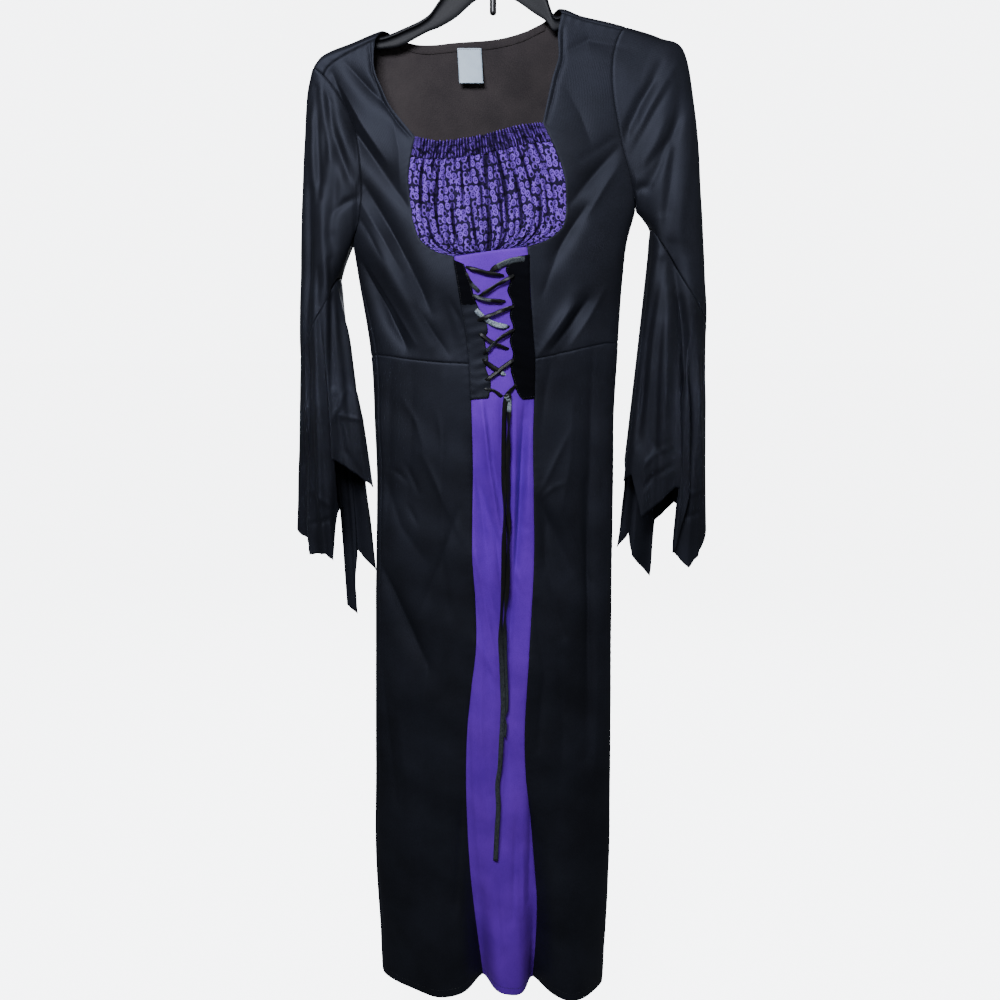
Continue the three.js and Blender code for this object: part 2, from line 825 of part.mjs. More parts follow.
// The lower edge of the skirt below a point of the waist, in surface coordinates.
function hemUnder(across, face) {
  const left = look(TORSO, "z", "left", HEM_LEVEL);
  const right = look(TORSO, "z", "right", HEM_LEVEL);
  const x = (left + right) / 2 + ((right - left) / 2) * Math.sin((across * Math.PI) / 2);
  return spread([x, look(HEM, "x", "z", x)], face)[1];
}

// A side seam of the skirt, in front coordinates.
const skirtSide = (start, across) => between(start, [across, hemUnder(across, "front")], SKIRT_STEPS);
const SKIRT_SIDE_R = skirtSide(RIGHT.bottom[SHOULDER_STEPS], SIDE_SEAM_R[SIDE_SEAM_R.length - 1].across);
const SKIRT_SIDE_L = skirtSide(LEFT.bottom[SHOULDER_STEPS], 1);

function frontSkirt(half, inner, side) {
  const left = along(inner, SKIRT_STEPS).map((p) => spread(p));
  const a = left[SKIRT_STEPS][0];
  const b = side[SKIRT_STEPS][0];
  const bottom = half.bottom.map((_, c) => {
    const across = mix(a, b, (c / SHOULDER_STEPS) ** 1.15);
    return [across, hemUnder(across, "front")];
  });
  bottom[0] = left[SKIRT_STEPS];
  bottom[SHOULDER_STEPS] = side[SKIRT_STEPS];
  return clothGrid(patch(half.bottom, bottom, left, side));
}

function backSkirt() {
  const other = (line, sign) => line.map(([across, down]) => [sign * 2 - across, -down]);
  const left = other(SKIRT_SIDE_R, -1);
  const right = other(SKIRT_SIDE_L, 1);
  const bottom = BACK.bottom.map((_, c) => {
    const across = mix(left[SKIRT_STEPS][0], right[SKIRT_STEPS][0], c / (BACK.bottom.length - 1));
    const over = across < -1;
    return [across, over ? -hemUnder(-2 - across, "front") : hemUnder(across, "back")];
  });
  bottom[0] = left[SKIRT_STEPS];
  bottom[bottom.length - 1] = right[SKIRT_STEPS];
  return clothGrid(patch(BACK.bottom, bottom, left, right));
}

// The purple panel, from the bust to the hem in one piece.
function centrePanel() {
  const start = NECK_STEPS + CASING_STEPS + INSERT_STEPS;
  const skirtEdge = (line) => along(line, SKIRT_STEPS).slice(1).map((p) => spread(p));
  const down = (half, line) => [...half.inner.slice(start), ...skirtEdge(line)];
  const left = down(RIGHT, CENTRE_SKIRT_R);
  const right = down(LEFT, CENTRE_SKIRT_L);
  const top = between(left[0], right[0], CENTRE_COLUMNS);
  const last = left.length - 1;
  const bottom = top.map((_, c) => {
    const across = mix(left[last][0], right[last][0], c / CENTRE_COLUMNS);
    return [across, hemUnder(across, "front")];
  });
  bottom[0] = left[last];
  bottom[CENTRE_COLUMNS] = right[last];
  return clothGrid(patch(top, bottom, left, right));
}

// Raises fine waves in a grid, fading out towards its edges by the given share of the way.
function waved(grid, waves, depth, fade) {
  const rows = grid.length - 1;
  const columns = grid[0].length - 1;
  return grid.map((row, r) =>
    row.map(({ point, normal }, c) => {
      const side = Math.min(1, (8 * Math.min(c, columns - c)) / columns);
      const wave = Math.cos((c / columns) * waves * 2 * Math.PI);
      const amount = depth * wave * side * fade(r / rows);
      return { point: point.clone().addScaledVector(normal, amount), normal };
    }),
  );
}

// A row of points with another number of even steps.
function resampled(row, steps) {
  return Array.from({ length: steps + 1 }, (_, i) => {
    const place = (i / steps) * (row.length - 1);
    const k = Math.min(Math.floor(place), row.length - 2);
    return row[k].map((value, axis) => mix(value, row[k + 1][axis], place - k));
  });
}

// The gathered print insert below its casing, and the casing with its small frill.
function insertParts() {
  const from = NECK_STEPS;
  const casingEnd = from + CASING_STEPS;
  const columns = GATHERS * 2;
  const topLine = along(INSERT_TOP, columns).map((p) => spread(p));
  const left = RIGHT.inner.slice(from, casingEnd + INSERT_STEPS + 1);
  const right = LEFT.inner.slice(from, casingEnd + INSERT_STEPS + 1);
  topLine[0] = left[0];
  topLine[columns] = right[0];
  const low = between(left[left.length - 1], right[right.length - 1], columns);
  const whole = patch(topLine, low, left, right);
  const insert = waved(clothGrid(whole.slice(CASING_STEPS)), GATHERS, GATHER_DEPTH, (t) => 1 - t ** 2);
  const waves = CASING_WAVES * 2;
  const casingTop = resampled(whole[0], waves);
  const casingLow = resampled(whole[CASING_STEPS], waves);
  const casingRows = [0, 0.3, 1].map((t) =>
    casingTop.map((p, c) => [mix(p[0], casingLow[c][0], t), mix(p[1], casingLow[c][1], t)]),
  );
  const frill = (t) => (t < 0.2 ? 1.3 : t < 0.99 ? 0.7 : 0.3);
  const casing = waved(clothGrid(casingRows), CASING_WAVES, CASING_DEPTH, frill);
  return { insert, casing };
}

// A strip lying on the cloth between two edges.
function strip(outerEdge, innerEdge, columns, steps, lift) {
  const left = along(outerEdge, steps).map((p) => spread(p));
  const right = along(innerEdge, steps).map((p) => spread(p));
  const rows = left.map((a, i) => between(a, right[i], columns));
  return clothGrid(rows, lift);
}
const PLACKET_LIFT = LAY_GAP + PLACKET_WALL;
const PLACKET_COLUMNS = 3;
const PLACKET_STEPS = 10;
const placket = (edges) => strip(edges.outer, edges.inner, PLACKET_COLUMNS, PLACKET_STEPS, PLACKET_LIFT);

// The back neck's binding lies inside the back panel, just below the neck edge.
const BINDING_WIDTH = 9.5;
function neckBinding() {
  const steps = 16;
  const low = BACK_NECK.map(([x, z]) => [x, z - BINDING_WIDTH]);
  const upper = along(BACK_NECK.map(([x, z]) => [x, z - 0.4]), steps).map((p) => spread(p, "back"));
  const lower = along(low, steps).map((p) => spread(p, "back"));
  return clothGrid([upper.slice(1, -1), lower.slice(1, -1)], -CLOTH - LAY_GAP);
}

// The label hangs inside the back, curling forward at its foot.
function careLabel() {
  const steps = 6;
  const back = cloth(...spread([LABEL.x, LABEL.top], "back")).point.y;
  return Array.from({ length: steps + 1 }, (_, r) =>
    [-0.5, 0, 0.5].map((share) => {
      const t = r / steps;
      const z = LABEL.top - LABEL.height * t;
      const x = LABEL.x + share * LABEL.width + 2.5 * t;
      const y = back - LABEL.stand - LABEL.curl * t ** 2;
      return { point: new THREE.Vector3(x, y, z), normal: new THREE.Vector3(0, -1, 0) };
    }),
  );
}

// A ribbon along a path of { point, normal }, a flat bar with square edges.
function ribbon(path) {
  const grid = path.map(({ point, normal }, i) => {
    const ahead = path[Math.min(i + 1, path.length - 1)].point;
    const behind = path[Math.max(i - 1, 0)].point;
    const across = ahead.clone().sub(behind).cross(normal).normalize();
    const edgeOf = (side) => point.clone().addScaledVector(across, (side * RIBBON_WIDTH) / 2);
    return [-1, 1].map((side) => ({ point: edgeOf(side), normal }));
  });
  return wall(outerOf(grid), innerOf(grid, RIBBON_WALL));
}

const LACE_LEVEL = 1.35; // from one ribbon to the next that crosses it
const LACE_STEPS = 5;
function laceRun(run) {
  const lift = PLACKET_LIFT + LAY_GAP + RIBBON_WALL + (run.level - 1) * LACE_LEVEL;
  const points = along(
    [
      [run.x1, run.z1],
      [run.x2, run.z2],
      [run.x3, run.z3],
    ],
    LACE_STEPS,
  );
  return ribbon(points.map((p) => cloth(...spread(p), lift)));
}

function tail(route) {
  const steps = (route.points.length - 1) * 2;
  return ribbon(
    along(route.points, steps).map((p) => {
      const place = cloth(...spread(p), route.lift);
      return { point: place.point, normal: new THREE.Vector3(0, -1, 0) };
    }),
  );
}

// A sleeve as a ring of columns at the armhole's own turns, lofted down to the elbow seam.
const SLEEVE_ROWS = 9;
function upperSleeve(sleeve) {
  const turns = ringTurns(sleeve);
  const numbered = sleeve.rows.map((row, k) => ({ ...row, k }));
  return Array.from({ length: SLEEVE_ROWS + 1 }, (_, r) => {
    const place = (r / SLEEVE_ROWS) * (sleeve.rows.length - 1);
    const row = Object.fromEntries(
      Object.keys(sleeve.rows[0]).map((name) => [name, look(numbered, "k", name, place)]),
    );
    return turns.map((turn) => {
      const free = sleevePoint(sleeve, row, turn);
      if (place >= 1) return free;
      const seam = cloth(...armholeAt(sleeve, turn)).point;
      return free.addScaledVector(seam.sub(sleevePoint(sleeve, sleeve.rows[0], turn)), (1 - place) ** 1.3);
    });
  });
}

// A free point of a sleeve loop: flattened, and fuller where the shoulder carries it.
function sleevePoint(sleeve, row, turn) {
  const [x, z] = sleeveXZ(sleeve, row, turn);
  const swing = Math.sin(turn * 2 * Math.PI);
  const stand = swing > 0 ? row.front : row.back;
  return new THREE.Vector3(x, -Math.sign(swing) * stand * Math.abs(swing) ** 0.75, z);
}

const middleOf = (ring) => ring.reduce((sum, p) => sum.add(p), new THREE.Vector3()).divideScalar(ring.length);

// The normals of a ring grid, from its own points.
function ringNormals(points) {
  const rows = points.length;
  const columns = points[0].length;
  const middle = points.map(middleOf);
  return points.map((row, r) =>
    row.map((point, c) => {
      const up = points[Math.max(r - 1, 0)][c];
      const low = points[Math.min(r + 1, rows - 1)][c];
      const before = row[(c + columns - 1) % columns];
      const after = row[(c + 1) % columns];
      const normal = after.clone().sub(before).cross(low.clone().sub(up)).normalize();
      if (normal.dot(point.clone().sub(middle[r])) < 0) normal.negate();
      return { point, normal };
    }),
  );
}

// A sleeve wall's first row takes the torso's normals, so that the two rims lie side by side. Only at the
// underarm, where the sleeve turns away from the side of the dress, it keeps its own.
const UNDERARM_GAP = 0.6;
const UNDERARM_TURNS = { near: 0.05, far: 0.13 };
function sleeveGrid(sleeve) {
  const grid = ringNormals(upperSleeve(sleeve));
  const { near, far } = UNDERARM_TURNS;
  ringTurns(sleeve).forEach((turn, c) => {
    const own = clampTo((far - Math.abs(turn - 0.5)) / (far - near), 0, 1);
    grid[0][c].point.addScaledVector(grid[0][c].normal, -UNDERARM_GAP * own);
    const shared = cloth(...armholeAt(sleeve, turn)).normal;
    grid[0][c].normal = shared.lerp(grid[0][c].normal, own).normalize();
  });
  return grid;
}

const FLOUNCE_ROWS = 7;
const FLOUNCE_SWELL = 0.12;

// A flounce hangs from the elbow seam to its hem. It has two columns to each one of the sleeve's, so its
// first row is the sleeve's last one with the middle of each side added.
function flounceGrid(sleeve, elbow, hem) {
  const turns = ringTurns(sleeve);
  const columns = turns.length;
  const start = sleeve.seamTurn;
  const hemRound = [...hem, { ...hem[0], turn: 1 }, { ...hem[1], turn: 1 + hem[1].turn }];
  hemRound.push({ ...hem[2], turn: 1 + hem[2].turn });
  const points = Array.from({ length: FLOUNCE_ROWS + 1 }, () => []);
  const normals = [];
  for (let c = 0; c < columns * 2; c++) {
    const a = elbow[Math.floor(c / 2)];
    const b = elbow[Math.ceil(c / 2) % columns];
    const nextTurn = turns[(Math.floor(c / 2) + 1) % columns];
    const step = (nextTurn > turns[Math.floor(c / 2)] ? nextTurn : nextTurn + 1) - turns[Math.floor(c / 2)];
    const turn = turns[Math.floor(c / 2)] + (c % 2 ? step / 2 : 0);
    const top = a.point.clone().add(b.point).divideScalar(2);
    normals.push(a.normal.clone().add(b.normal).multiplyScalar(0.5));
    const at = cornerAt(hemRound, turn < start ? turn + 1 : turn);
    for (let r = 0; r <= FLOUNCE_ROWS; r++) {
      const t = r / FLOUNCE_ROWS;
      const swell = 1 + FLOUNCE_SWELL * Math.sin(Math.PI * t);
      const point = top.clone().lerp(at, t);
      point.y = mix(top.y, at.y, t ** 1.3) * swell;
      points[r].push(point);
    }
  }
  const grid = ringNormals(points);
  grid[0].forEach((cell, c) => {
    cell.normal = normals[c];
  });
  return grid;
}

// A corner-to-corner point of the flounce's hem at a turn.
function cornerAt(hem, turn) {
  let i = 0;
  while (i < hem.length - 2 && turn > hem[i + 1].turn) i++;
  const t = clampTo((turn - hem[i].turn) / (hem[i + 1].turn - hem[i].turn), 0, 1);
  const a = hem[i];
  const b = hem[i + 1];
  return new THREE.Vector3(mix(a.x, b.x, t), mix(a.y, b.y, t), mix(a.z, b.z, t));
}

const wasm = await Module();
wasm.setup();

// A three.js geometry as a solid that can be joined and cut, and back again.
function solidOf(geometry) {
  const bare = (geometry.index ? geometry.toNonIndexed() : geometry).clone();
  bare.deleteAttribute("normal");
  bare.deleteAttribute("uv");
  const merged = mergeVertices(bare, 1e-4);
  return new wasm.Manifold(
    new wasm.Mesh({
      numProp: 3,
      vertProperties: merged.attributes.position.array,
      triVerts: new Uint32Array(merged.index.array),
    }),
  );
}
function geometryOf(solid) {
  const mesh = solid.getMesh();
  const geometry = new THREE.BufferGeometry();
  geometry.setAttribute("position", new THREE.Float32BufferAttribute(Array.from(mesh.vertProperties), 3));
  geometry.setIndex(Array.from(mesh.triVerts));
  geometry.computeVertexNormals();
  return geometry;
}

// The hanger's arms: a rounded flange with a thin web under it, swept over the top edge, and the collar
// that the hook turns in.
const WEB_HALF = 1.5;
const FLANGE_DROP = 5;
const COLLAR = { radius: 9, top: -72, bottom: -119, bore: 4.4 };

function hangerArms() {
  const steps = 36;
  const sections = Array.from({ length: steps + 1 }, (_, i) => {
    const x = mix(ARM_ENDS.right, ARM_ENDS.left, i / steps);
    const bare = x > HANGER_NECK[0].x && x < HANGER_NECK[HANGER_NECK.length - 1].x;
    const z = bare ? look(HANGER_NECK, "x", "z", x) : ridgeAt(x) - UNDER_CLOTH;
    const toEnd = Math.min(x - ARM_ENDS.right, ARM_ENDS.left - x);
    const web = mix(ARM_ENDS.web, look(HANGER_NECK, "x", "web", x), Math.min(toEnd / ARM_ENDS.reach, 1));
    return [
      [0, z],
      [FLANGE_HALF * 0.7, z - 1],
      [FLANGE_HALF, z - 3],
      [FLANGE_HALF, z - FLANGE_DROP],
      [WEB_HALF, z - FLANGE_DROP - 1],
      [WEB_HALF, z - web],
      [-WEB_HALF, z - web],
      [-WEB_HALF, z - FLANGE_DROP - 1],
      [-FLANGE_HALF, z - FLANGE_DROP],
      [-FLANGE_HALF, z - 3],
      [-FLANGE_HALF * 0.7, z - 1],
    ].map(([y, height]) => new THREE.Vector3(x, y, height));
  });
  return sweptSolid(sections);
}

// A closed solid through rings of equal length, capped with fans.
function sweptSolid(rings) {
  const count = rings[0].length;
  const positions = rings.flat().flatMap((p) => p.toArray());
  const faces = [];
  for (let i = 0; i < rings.length - 1; i++) {
    for (let k = 0; k < count; k++) {
      const a = i * count + k;
      const b = i * count + ((k + 1) % count);
      faces.push(a, b, b + count, a, b + count, a + count);
    }
  }
  [rings[0], rings[rings.length - 1]].forEach((ring, end) => {
    const centre = positions.length / 3;
    positions.push(...middleOf(ring).toArray());
    const base = end ? (rings.length - 1) * count : 0;
    for (let k = 0; k < count; k++) {
      const a = base + k;
      const b = base + ((k + 1) % count);
      faces.push(...(end ? [centre, a, b] : [centre, b, a]));
    }
  });
  return facingOut(positions, faces);
}

function hangerBody() {
  const tall = COLLAR.top - COLLAR.bottom;
  const collar = new THREE.CylinderGeometry(COLLAR.radius, COLLAR.radius, tall, 20);
  collar.rotateX(Math.PI / 2);
  collar.translate(0, 0, (COLLAR.top + COLLAR.bottom) / 2);
  const bore = new THREE.CylinderGeometry(COLLAR.bore, COLLAR.bore, tall * 3, 20);
  bore.rotateX(Math.PI / 2);
  bore.translate(0, 0, (COLLAR.top + COLLAR.bottom) / 2);
  return geometryOf(solidOf(hangerArms()).add(solidOf(collar)).subtract(solidOf(bore)));
}

// The hook: a knob under the collar, a straight shank, and a round bend over the bearing point.
const HOOK_FOOT = -143;
function hangerHook() {
  const reach = HOOK_BEND + HOOK_BAR;
  const path = [
    [0, HOOK_FOOT + 2],
    [0, -120],
    [0, -90],
    [0, -68],
    [2.5, -57],
    [9, -45.5],
  ];
  for (let degrees = -45; degrees <= 205; degrees += 12.5) {
    const angle = (degrees * Math.PI) / 180;
    path.push([reach * Math.cos(angle), -HOOK_BEND + reach * Math.sin(angle)]);
  }
  const sides = 12;
  const rings = path.map(([x, z], i) => {
    const before = path[Math.max(i - 1, 0)];
    const after = path[Math.min(i + 1, path.length - 1)];
    const way = new THREE.Vector3(after[0] - before[0], 0, after[1] - before[1]).normalize();
    const out = new THREE.Vector3(way.z, 0, -way.x);
    return Array.from({ length: sides }, (_, k) => {
      const angle = (k / sides) * 2 * Math.PI;
      const point = new THREE.Vector3(x, 0, z).addScaledVector(out, HOOK_BAR * Math.cos(angle));
      point.y += HOOK_BAR * Math.sin(angle);
      return point;
    });
  });
  return sweptSolid(rings);
}

const finish = (surface) => new THREE.MeshStandardMaterial(surface);
const KNIT = finish(BLACK_KNIT);
const PURPLE = finish(PURPLE_KNIT);
const SATIN = finish(BLACK_SATIN);
const PILE = finish(BLACK_PILE);

const costume = new THREE.Group();
function add(name, geometry, material) {
  const mesh = new THREE.Mesh(geometry, material);
  mesh.name = name;
  costume.add(mesh);
}

function addHanger() {
  add("hanger_body", hangerBody(), finish(HANGER_COLOUR));
  add("hanger_hook", hangerHook(), finish(HOOK_COLOUR));
}

function addBodice() {
  add("front_bodice_r", wallOf(frontBodice(RIGHT)), KNIT);
  add("front_bodice_l", wallOf(frontBodice(LEFT)), KNIT);
  add("back_bodice", wallOf(backBodice()), KNIT);
  add("neck_binding", wallOf(neckBinding(), BINDING_WALL), KNIT);
  const { insert, casing } = insertParts();
  add("bust_insert", wallOf(insert, INSERT_WALL), finish(PRINT_CLOTH));
  add("insert_casing", wallOf(casing, CASING_WALL), finish(PRINT_CLOTH));
  add("label", wallOf(careLabel(), LABEL.wall), finish(LABEL_WHITE));
}

function addSkirt() {
  add("centre_panel", wallOf(centrePanel()), PURPLE);
  add("front_skirt_r", wallOf(frontSkirt(RIGHT, CENTRE_SKIRT_R, SKIRT_SIDE_R)), KNIT);
  add("front_skirt_l", wallOf(frontSkirt(LEFT, CENTRE_SKIRT_L, SKIRT_SIDE_L)), KNIT);
  add("back_skirt", wallOf(backSkirt()), KNIT);
}

function addSleeves() {
  [
    [SLEEVE_R, FLOUNCE_HEM_R],
    [SLEEVE_L, FLOUNCE_HEM_L],
  ].forEach(([sleeve, hem]) => {
    const grid = sleeveGrid(sleeve);
    add("upper_sleeve_" + sleeve.side, wallOf(grid, CLOTH, true), KNIT);
    const flounce = flounceGrid(sleeve, grid[grid.length - 1], hem);
    add("sleeve_flounce_" + sleeve.side, wallOf(flounce, CLOTH, true), KNIT);
  });
}

function addLacing() {
  add("placket_r", wallOf(placket(PLACKET_R), PLACKET_WALL), KNIT);
  add("placket_l", wallOf(placket(PLACKET_L), PLACKET_WALL), PILE);
  LACE.forEach((run, i) => add("lace_run_" + String(i + 1).padStart(2, "0"), laceRun(run), SATIN));
  add("lace_tail_long", tail(TAIL_LONG), SATIN);
  add("lace_tail_short", tail(TAIL_SHORT), SATIN);
}

addHanger();
addBodice();
addSkirt();
addSleeves();
addLacing();

export default costume;
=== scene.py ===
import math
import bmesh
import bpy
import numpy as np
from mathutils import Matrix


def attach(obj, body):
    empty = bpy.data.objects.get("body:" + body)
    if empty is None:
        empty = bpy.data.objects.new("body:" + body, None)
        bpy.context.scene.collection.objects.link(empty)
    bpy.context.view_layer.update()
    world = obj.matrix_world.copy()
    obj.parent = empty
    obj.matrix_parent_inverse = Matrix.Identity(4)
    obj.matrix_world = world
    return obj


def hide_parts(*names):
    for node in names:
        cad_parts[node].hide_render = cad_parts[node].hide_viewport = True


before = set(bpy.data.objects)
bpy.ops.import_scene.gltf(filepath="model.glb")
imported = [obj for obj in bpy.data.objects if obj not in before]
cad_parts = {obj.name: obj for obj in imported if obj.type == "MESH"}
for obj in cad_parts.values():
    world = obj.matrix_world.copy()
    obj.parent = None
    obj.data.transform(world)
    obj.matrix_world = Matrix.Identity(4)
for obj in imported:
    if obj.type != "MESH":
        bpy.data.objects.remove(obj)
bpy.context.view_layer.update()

# %% [markdown]
# # A witch costume dress on its hanger
# The dress is cheap, light polyester knit, and nearly all of its look is how limp cloth hangs from a
# narrow hanger. A cloth simulation would give some drape, but not this one, so every panel is laid one
# by one: one smooth torso surface carries soft troughs and ridges where the photograph shows them, and
# each sewn panel is a thin closed shell cut out of that surface between its own seams.
# The frame that is already loaded holds the plain solids of the same panels. Lengths below are in
# millimetres, +Z is up, the front faces -Y and the wearer's right side is towards -X.

MM = 0.001

# %% [markdown]
# ## The camera
# The photograph seems taken from about the height of the waist with the lens tipped down, so the hem runs
# away from the viewer. A camera 1.23 m in front of the hanger with a 35 mm lens, tipped ten degrees, gives
# the same frame: the hanger's neck is cut off at the top and the hem stands just inside the bottom edge.

# %% Camera
camera_data = bpy.data.cameras.new("camera")
camera_data.sensor_width = 36
camera_data.lens = 34.56
camera = bpy.data.objects.new("camera", camera_data)
camera.location = (0.0083, -1.228, -0.512)
camera.rotation_euler = (math.radians(80), 0, 0)
bpy.context.scene.collection.objects.link(camera)
bpy.context.scene.camera = camera

# %% [markdown]
# ## Reading smooth curves from short tables
# A dressmaker's pattern is a few measured points with a smooth line drawn through them. These helpers do
# the same: `look` reads one named column at any height, `along` walks evenly along a curve through
# points, and `finer` adds rows to a grid on smooth lines that may turn sharply only at named corners.

# %% Curves and tables
def table(columns, rows):
    return {name: np.array(values, float) for name, values in zip(columns.split(), zip(*rows))}


def look(rows, key, column, value):
    x, y = rows[key], rows[column]
    if x[0] > x[-1]:
        x, y = x[::-1], y[::-1]
    below = np.maximum(np.arange(len(x)) - 1, 0)
    above = np.minimum(np.arange(len(x)) + 1, len(x) - 1)
    slope = (y[above] - y[below]) / (x[above] - x[below])
    value = np.clip(value, x[0], x[-1])
    i = np.clip(np.searchsorted(x, value) - 1, 0, len(x) - 2)
    wide = x[i + 1] - x[i]
    t = (value - x[i]) / wide
    ease = t * t * (3 - 2 * t)
    return y[i] + (y[i + 1] - y[i]) * ease + t * (1 - t) * wide * ((1 - t) * slope[i] - t * slope[i + 1])


def along(points, steps):
    """Evenly spaced points on the centripetal Catmull-Rom curve through the given ones."""
    p = np.array(points, float)
    p = np.concatenate([[2 * p[0] - p[1]], p, [2 * p[-1] - p[-2]]])
    gap = np.maximum(np.linalg.norm(np.diff(p, axis=0), axis=1) ** 0.5, 1e-4)
    samples = []
    for i in range(1, len(p) - 2):
        before, here, after = gap[i - 1], gap[i], gap[i + 1]
        leave = (p[i] - p[i - 1]) / before - (p[i + 1] - p[i - 1]) / (before + here) + (p[i + 1] - p[i]) / here
        reach = (p[i + 1] - p[i]) / here - (p[i + 2] - p[i]) / (here + after) + (p[i + 2] - p[i + 1]) / after
        leave, reach = leave * here, reach * here
        t = np.linspace(0, 1, 40, endpoint=False)[:, None]
        bend = (-3 * p[i] + 3 * p[i + 1] - 2 * leave - reach) * t ** 2
        samples.append(p[i] + leave * t + bend + (2 * p[i] - 2 * p[i + 1] + leave + reach) * t ** 3)
    line = np.concatenate([*samples, p[-2:-1]])
    run = np.concatenate([[0], np.cumsum(np.linalg.norm(np.diff(line, axis=0), axis=1))])
    at = np.linspace(0, run[-1], steps + 1)
    return np.stack([np.interp(at, run, line[:, k]) for k in range(line.shape[1])], axis=1)


def finer(rows, times, corners=()):
    rows = np.asarray(rows, float)
    parts = []
    ends = [0, *corners, len(rows) - 1]
    for a, b in zip(ends, ends[1:]):
        part = rows[a:b + 1]
        line = np.concatenate([[2 * part[0] - part[1]], part, [2 * part[-1] - part[-2]]])
        k = np.arange((b - a) * times)
        i = k // times
        t = ((k % times) / times).reshape(-1, *[1] * (rows.ndim - 1))
        p0, p1, p2, p3 = line[i], line[i + 1], line[i + 2], line[i + 3]
        parts.append(0.5 * (2 * p1 + (p2 - p0) * t + (2 * p0 - 5 * p1 + 4 * p2 - p3) * t ** 2
                            + (3 * p1 - p0 - 3 * p2 + p3) * t ** 3))
    return np.concatenate([*parts, rows[-1:]])


def between(a, b, steps):
    return np.linspace(np.asarray(a, float), np.asarray(b, float), steps + 1)


def mix(a, b, share):
    return a + (b - a) * share

# %% [markdown]
# ## The torso surface
# Cloth that hangs from a hanger is one surface: it climbs the front, rolls over the shoulder ridge and
# goes down the back. A place on it is (across, down). across runs from -1 at the left outline to 1 at
# the right one and goes on past them to the other face; down is the way over the cloth from the ridge,
# below zero in front. The tables give the ridge, the outlines and how far front and back stand off.

# %% Torso tables
RIDGE_ROUND = 9
RIDGE = table("x z", [
    (-240, -219), (-219, -203), (-204, -187), (-167, -172), (-139, -161), (-111, -154), (0, -139),
    (81, -135), (105, -143), (141, -151), (178, -161), (213, -173), (238, -205),
])
TORSO = table("z left right front back", [
    (-130, -262, 262, 15, 14), (-170, -256, 244, 17, 16), (-206, -248, 222, 21, 19),
    (-240, -228, 204, 25, 21), (-300, -202, 187, 33, 24), (-350, -187, 178, 37, 26),
    (-368, -183, 175, 39, 27), (-404, -175, 166, 43, 28), (-455, -167, 161, 44, 29),
    (-540, -155, 157, 38, 27), (-625, -152, 154, 35, 27), (-702, -151, 155, 34, 28),
    (-860, -156, 156, 34, 30), (-1090, -161, 159, 36, 33), (-1222, -164, 160, 42, 38),
    (-1340, -160, 157, 53, 44), (-1420, -157, 152, 60, 48),
])

# %% [markdown]
# ## Folds placed one by one
# Each fold runs through three points of one face. A depth below zero is a trough, above zero a ridge.
# FOLDS are the wide drags that pull from the shoulders to the bust and the waist, CREASES the narrow
# sharper ones between them, and FLUTES open towards the hem. The back is hidden in the photograph and
# gets the same kind of folds, as limp cloth has them on both sides.

# %% Fold tables
FOLDS = {
    "front": table("x1 z1 x2 z2 x3 z3 width depth", [
        (-176, -200, -147, -229, -120, -252, 11, -3), (-192, -212, -162, -285, -105, -363, 13, -5),
        (-159, -335, -122, -399, -77, -489, 14, -5), (-162, -431, -134, -484, -109, -532, 12, -5),
        (-148, -400, -112, -462, -80, -528, 11, 4), (-64, -470, -56, -498, -48, -530, 9, -3),
        (92, -362, 122, -327, 148, -298, 12, -4), (73, -430, 92, -395, 112, -365, 11, -4),
        (84, -534, 100, -507, 118, -470, 11, -4), (68, -532, 84, -504, 102, -468, 10, 4),
        (124, -570, 124, -760, 125, -1075, 14, -4), (-143, -820, -124, -870, -87, -949, 16, -4),
        (56, -721, 80, -770, 104, -830, 12, -3), (-13, -622, -4, -680, 4, -745, 8, 4),
        (38, -622, 34, -710, 30, -810, 8, -4), (-24, -650, -15, -739, -8, -810, 9, -4),
    ]),
    "back": table("x1 z1 x2 z2 x3 z3 width depth", [
        (-130, -260, -90, -330, -20, -420, 18, -5), (120, -240, 80, -320, 30, -400, 18, -5),
        (-60, -480, -70, -700, -60, -1000, 20, -5), (60, -500, 75, -760, 80, -1050, 20, -5),
    ]),
}
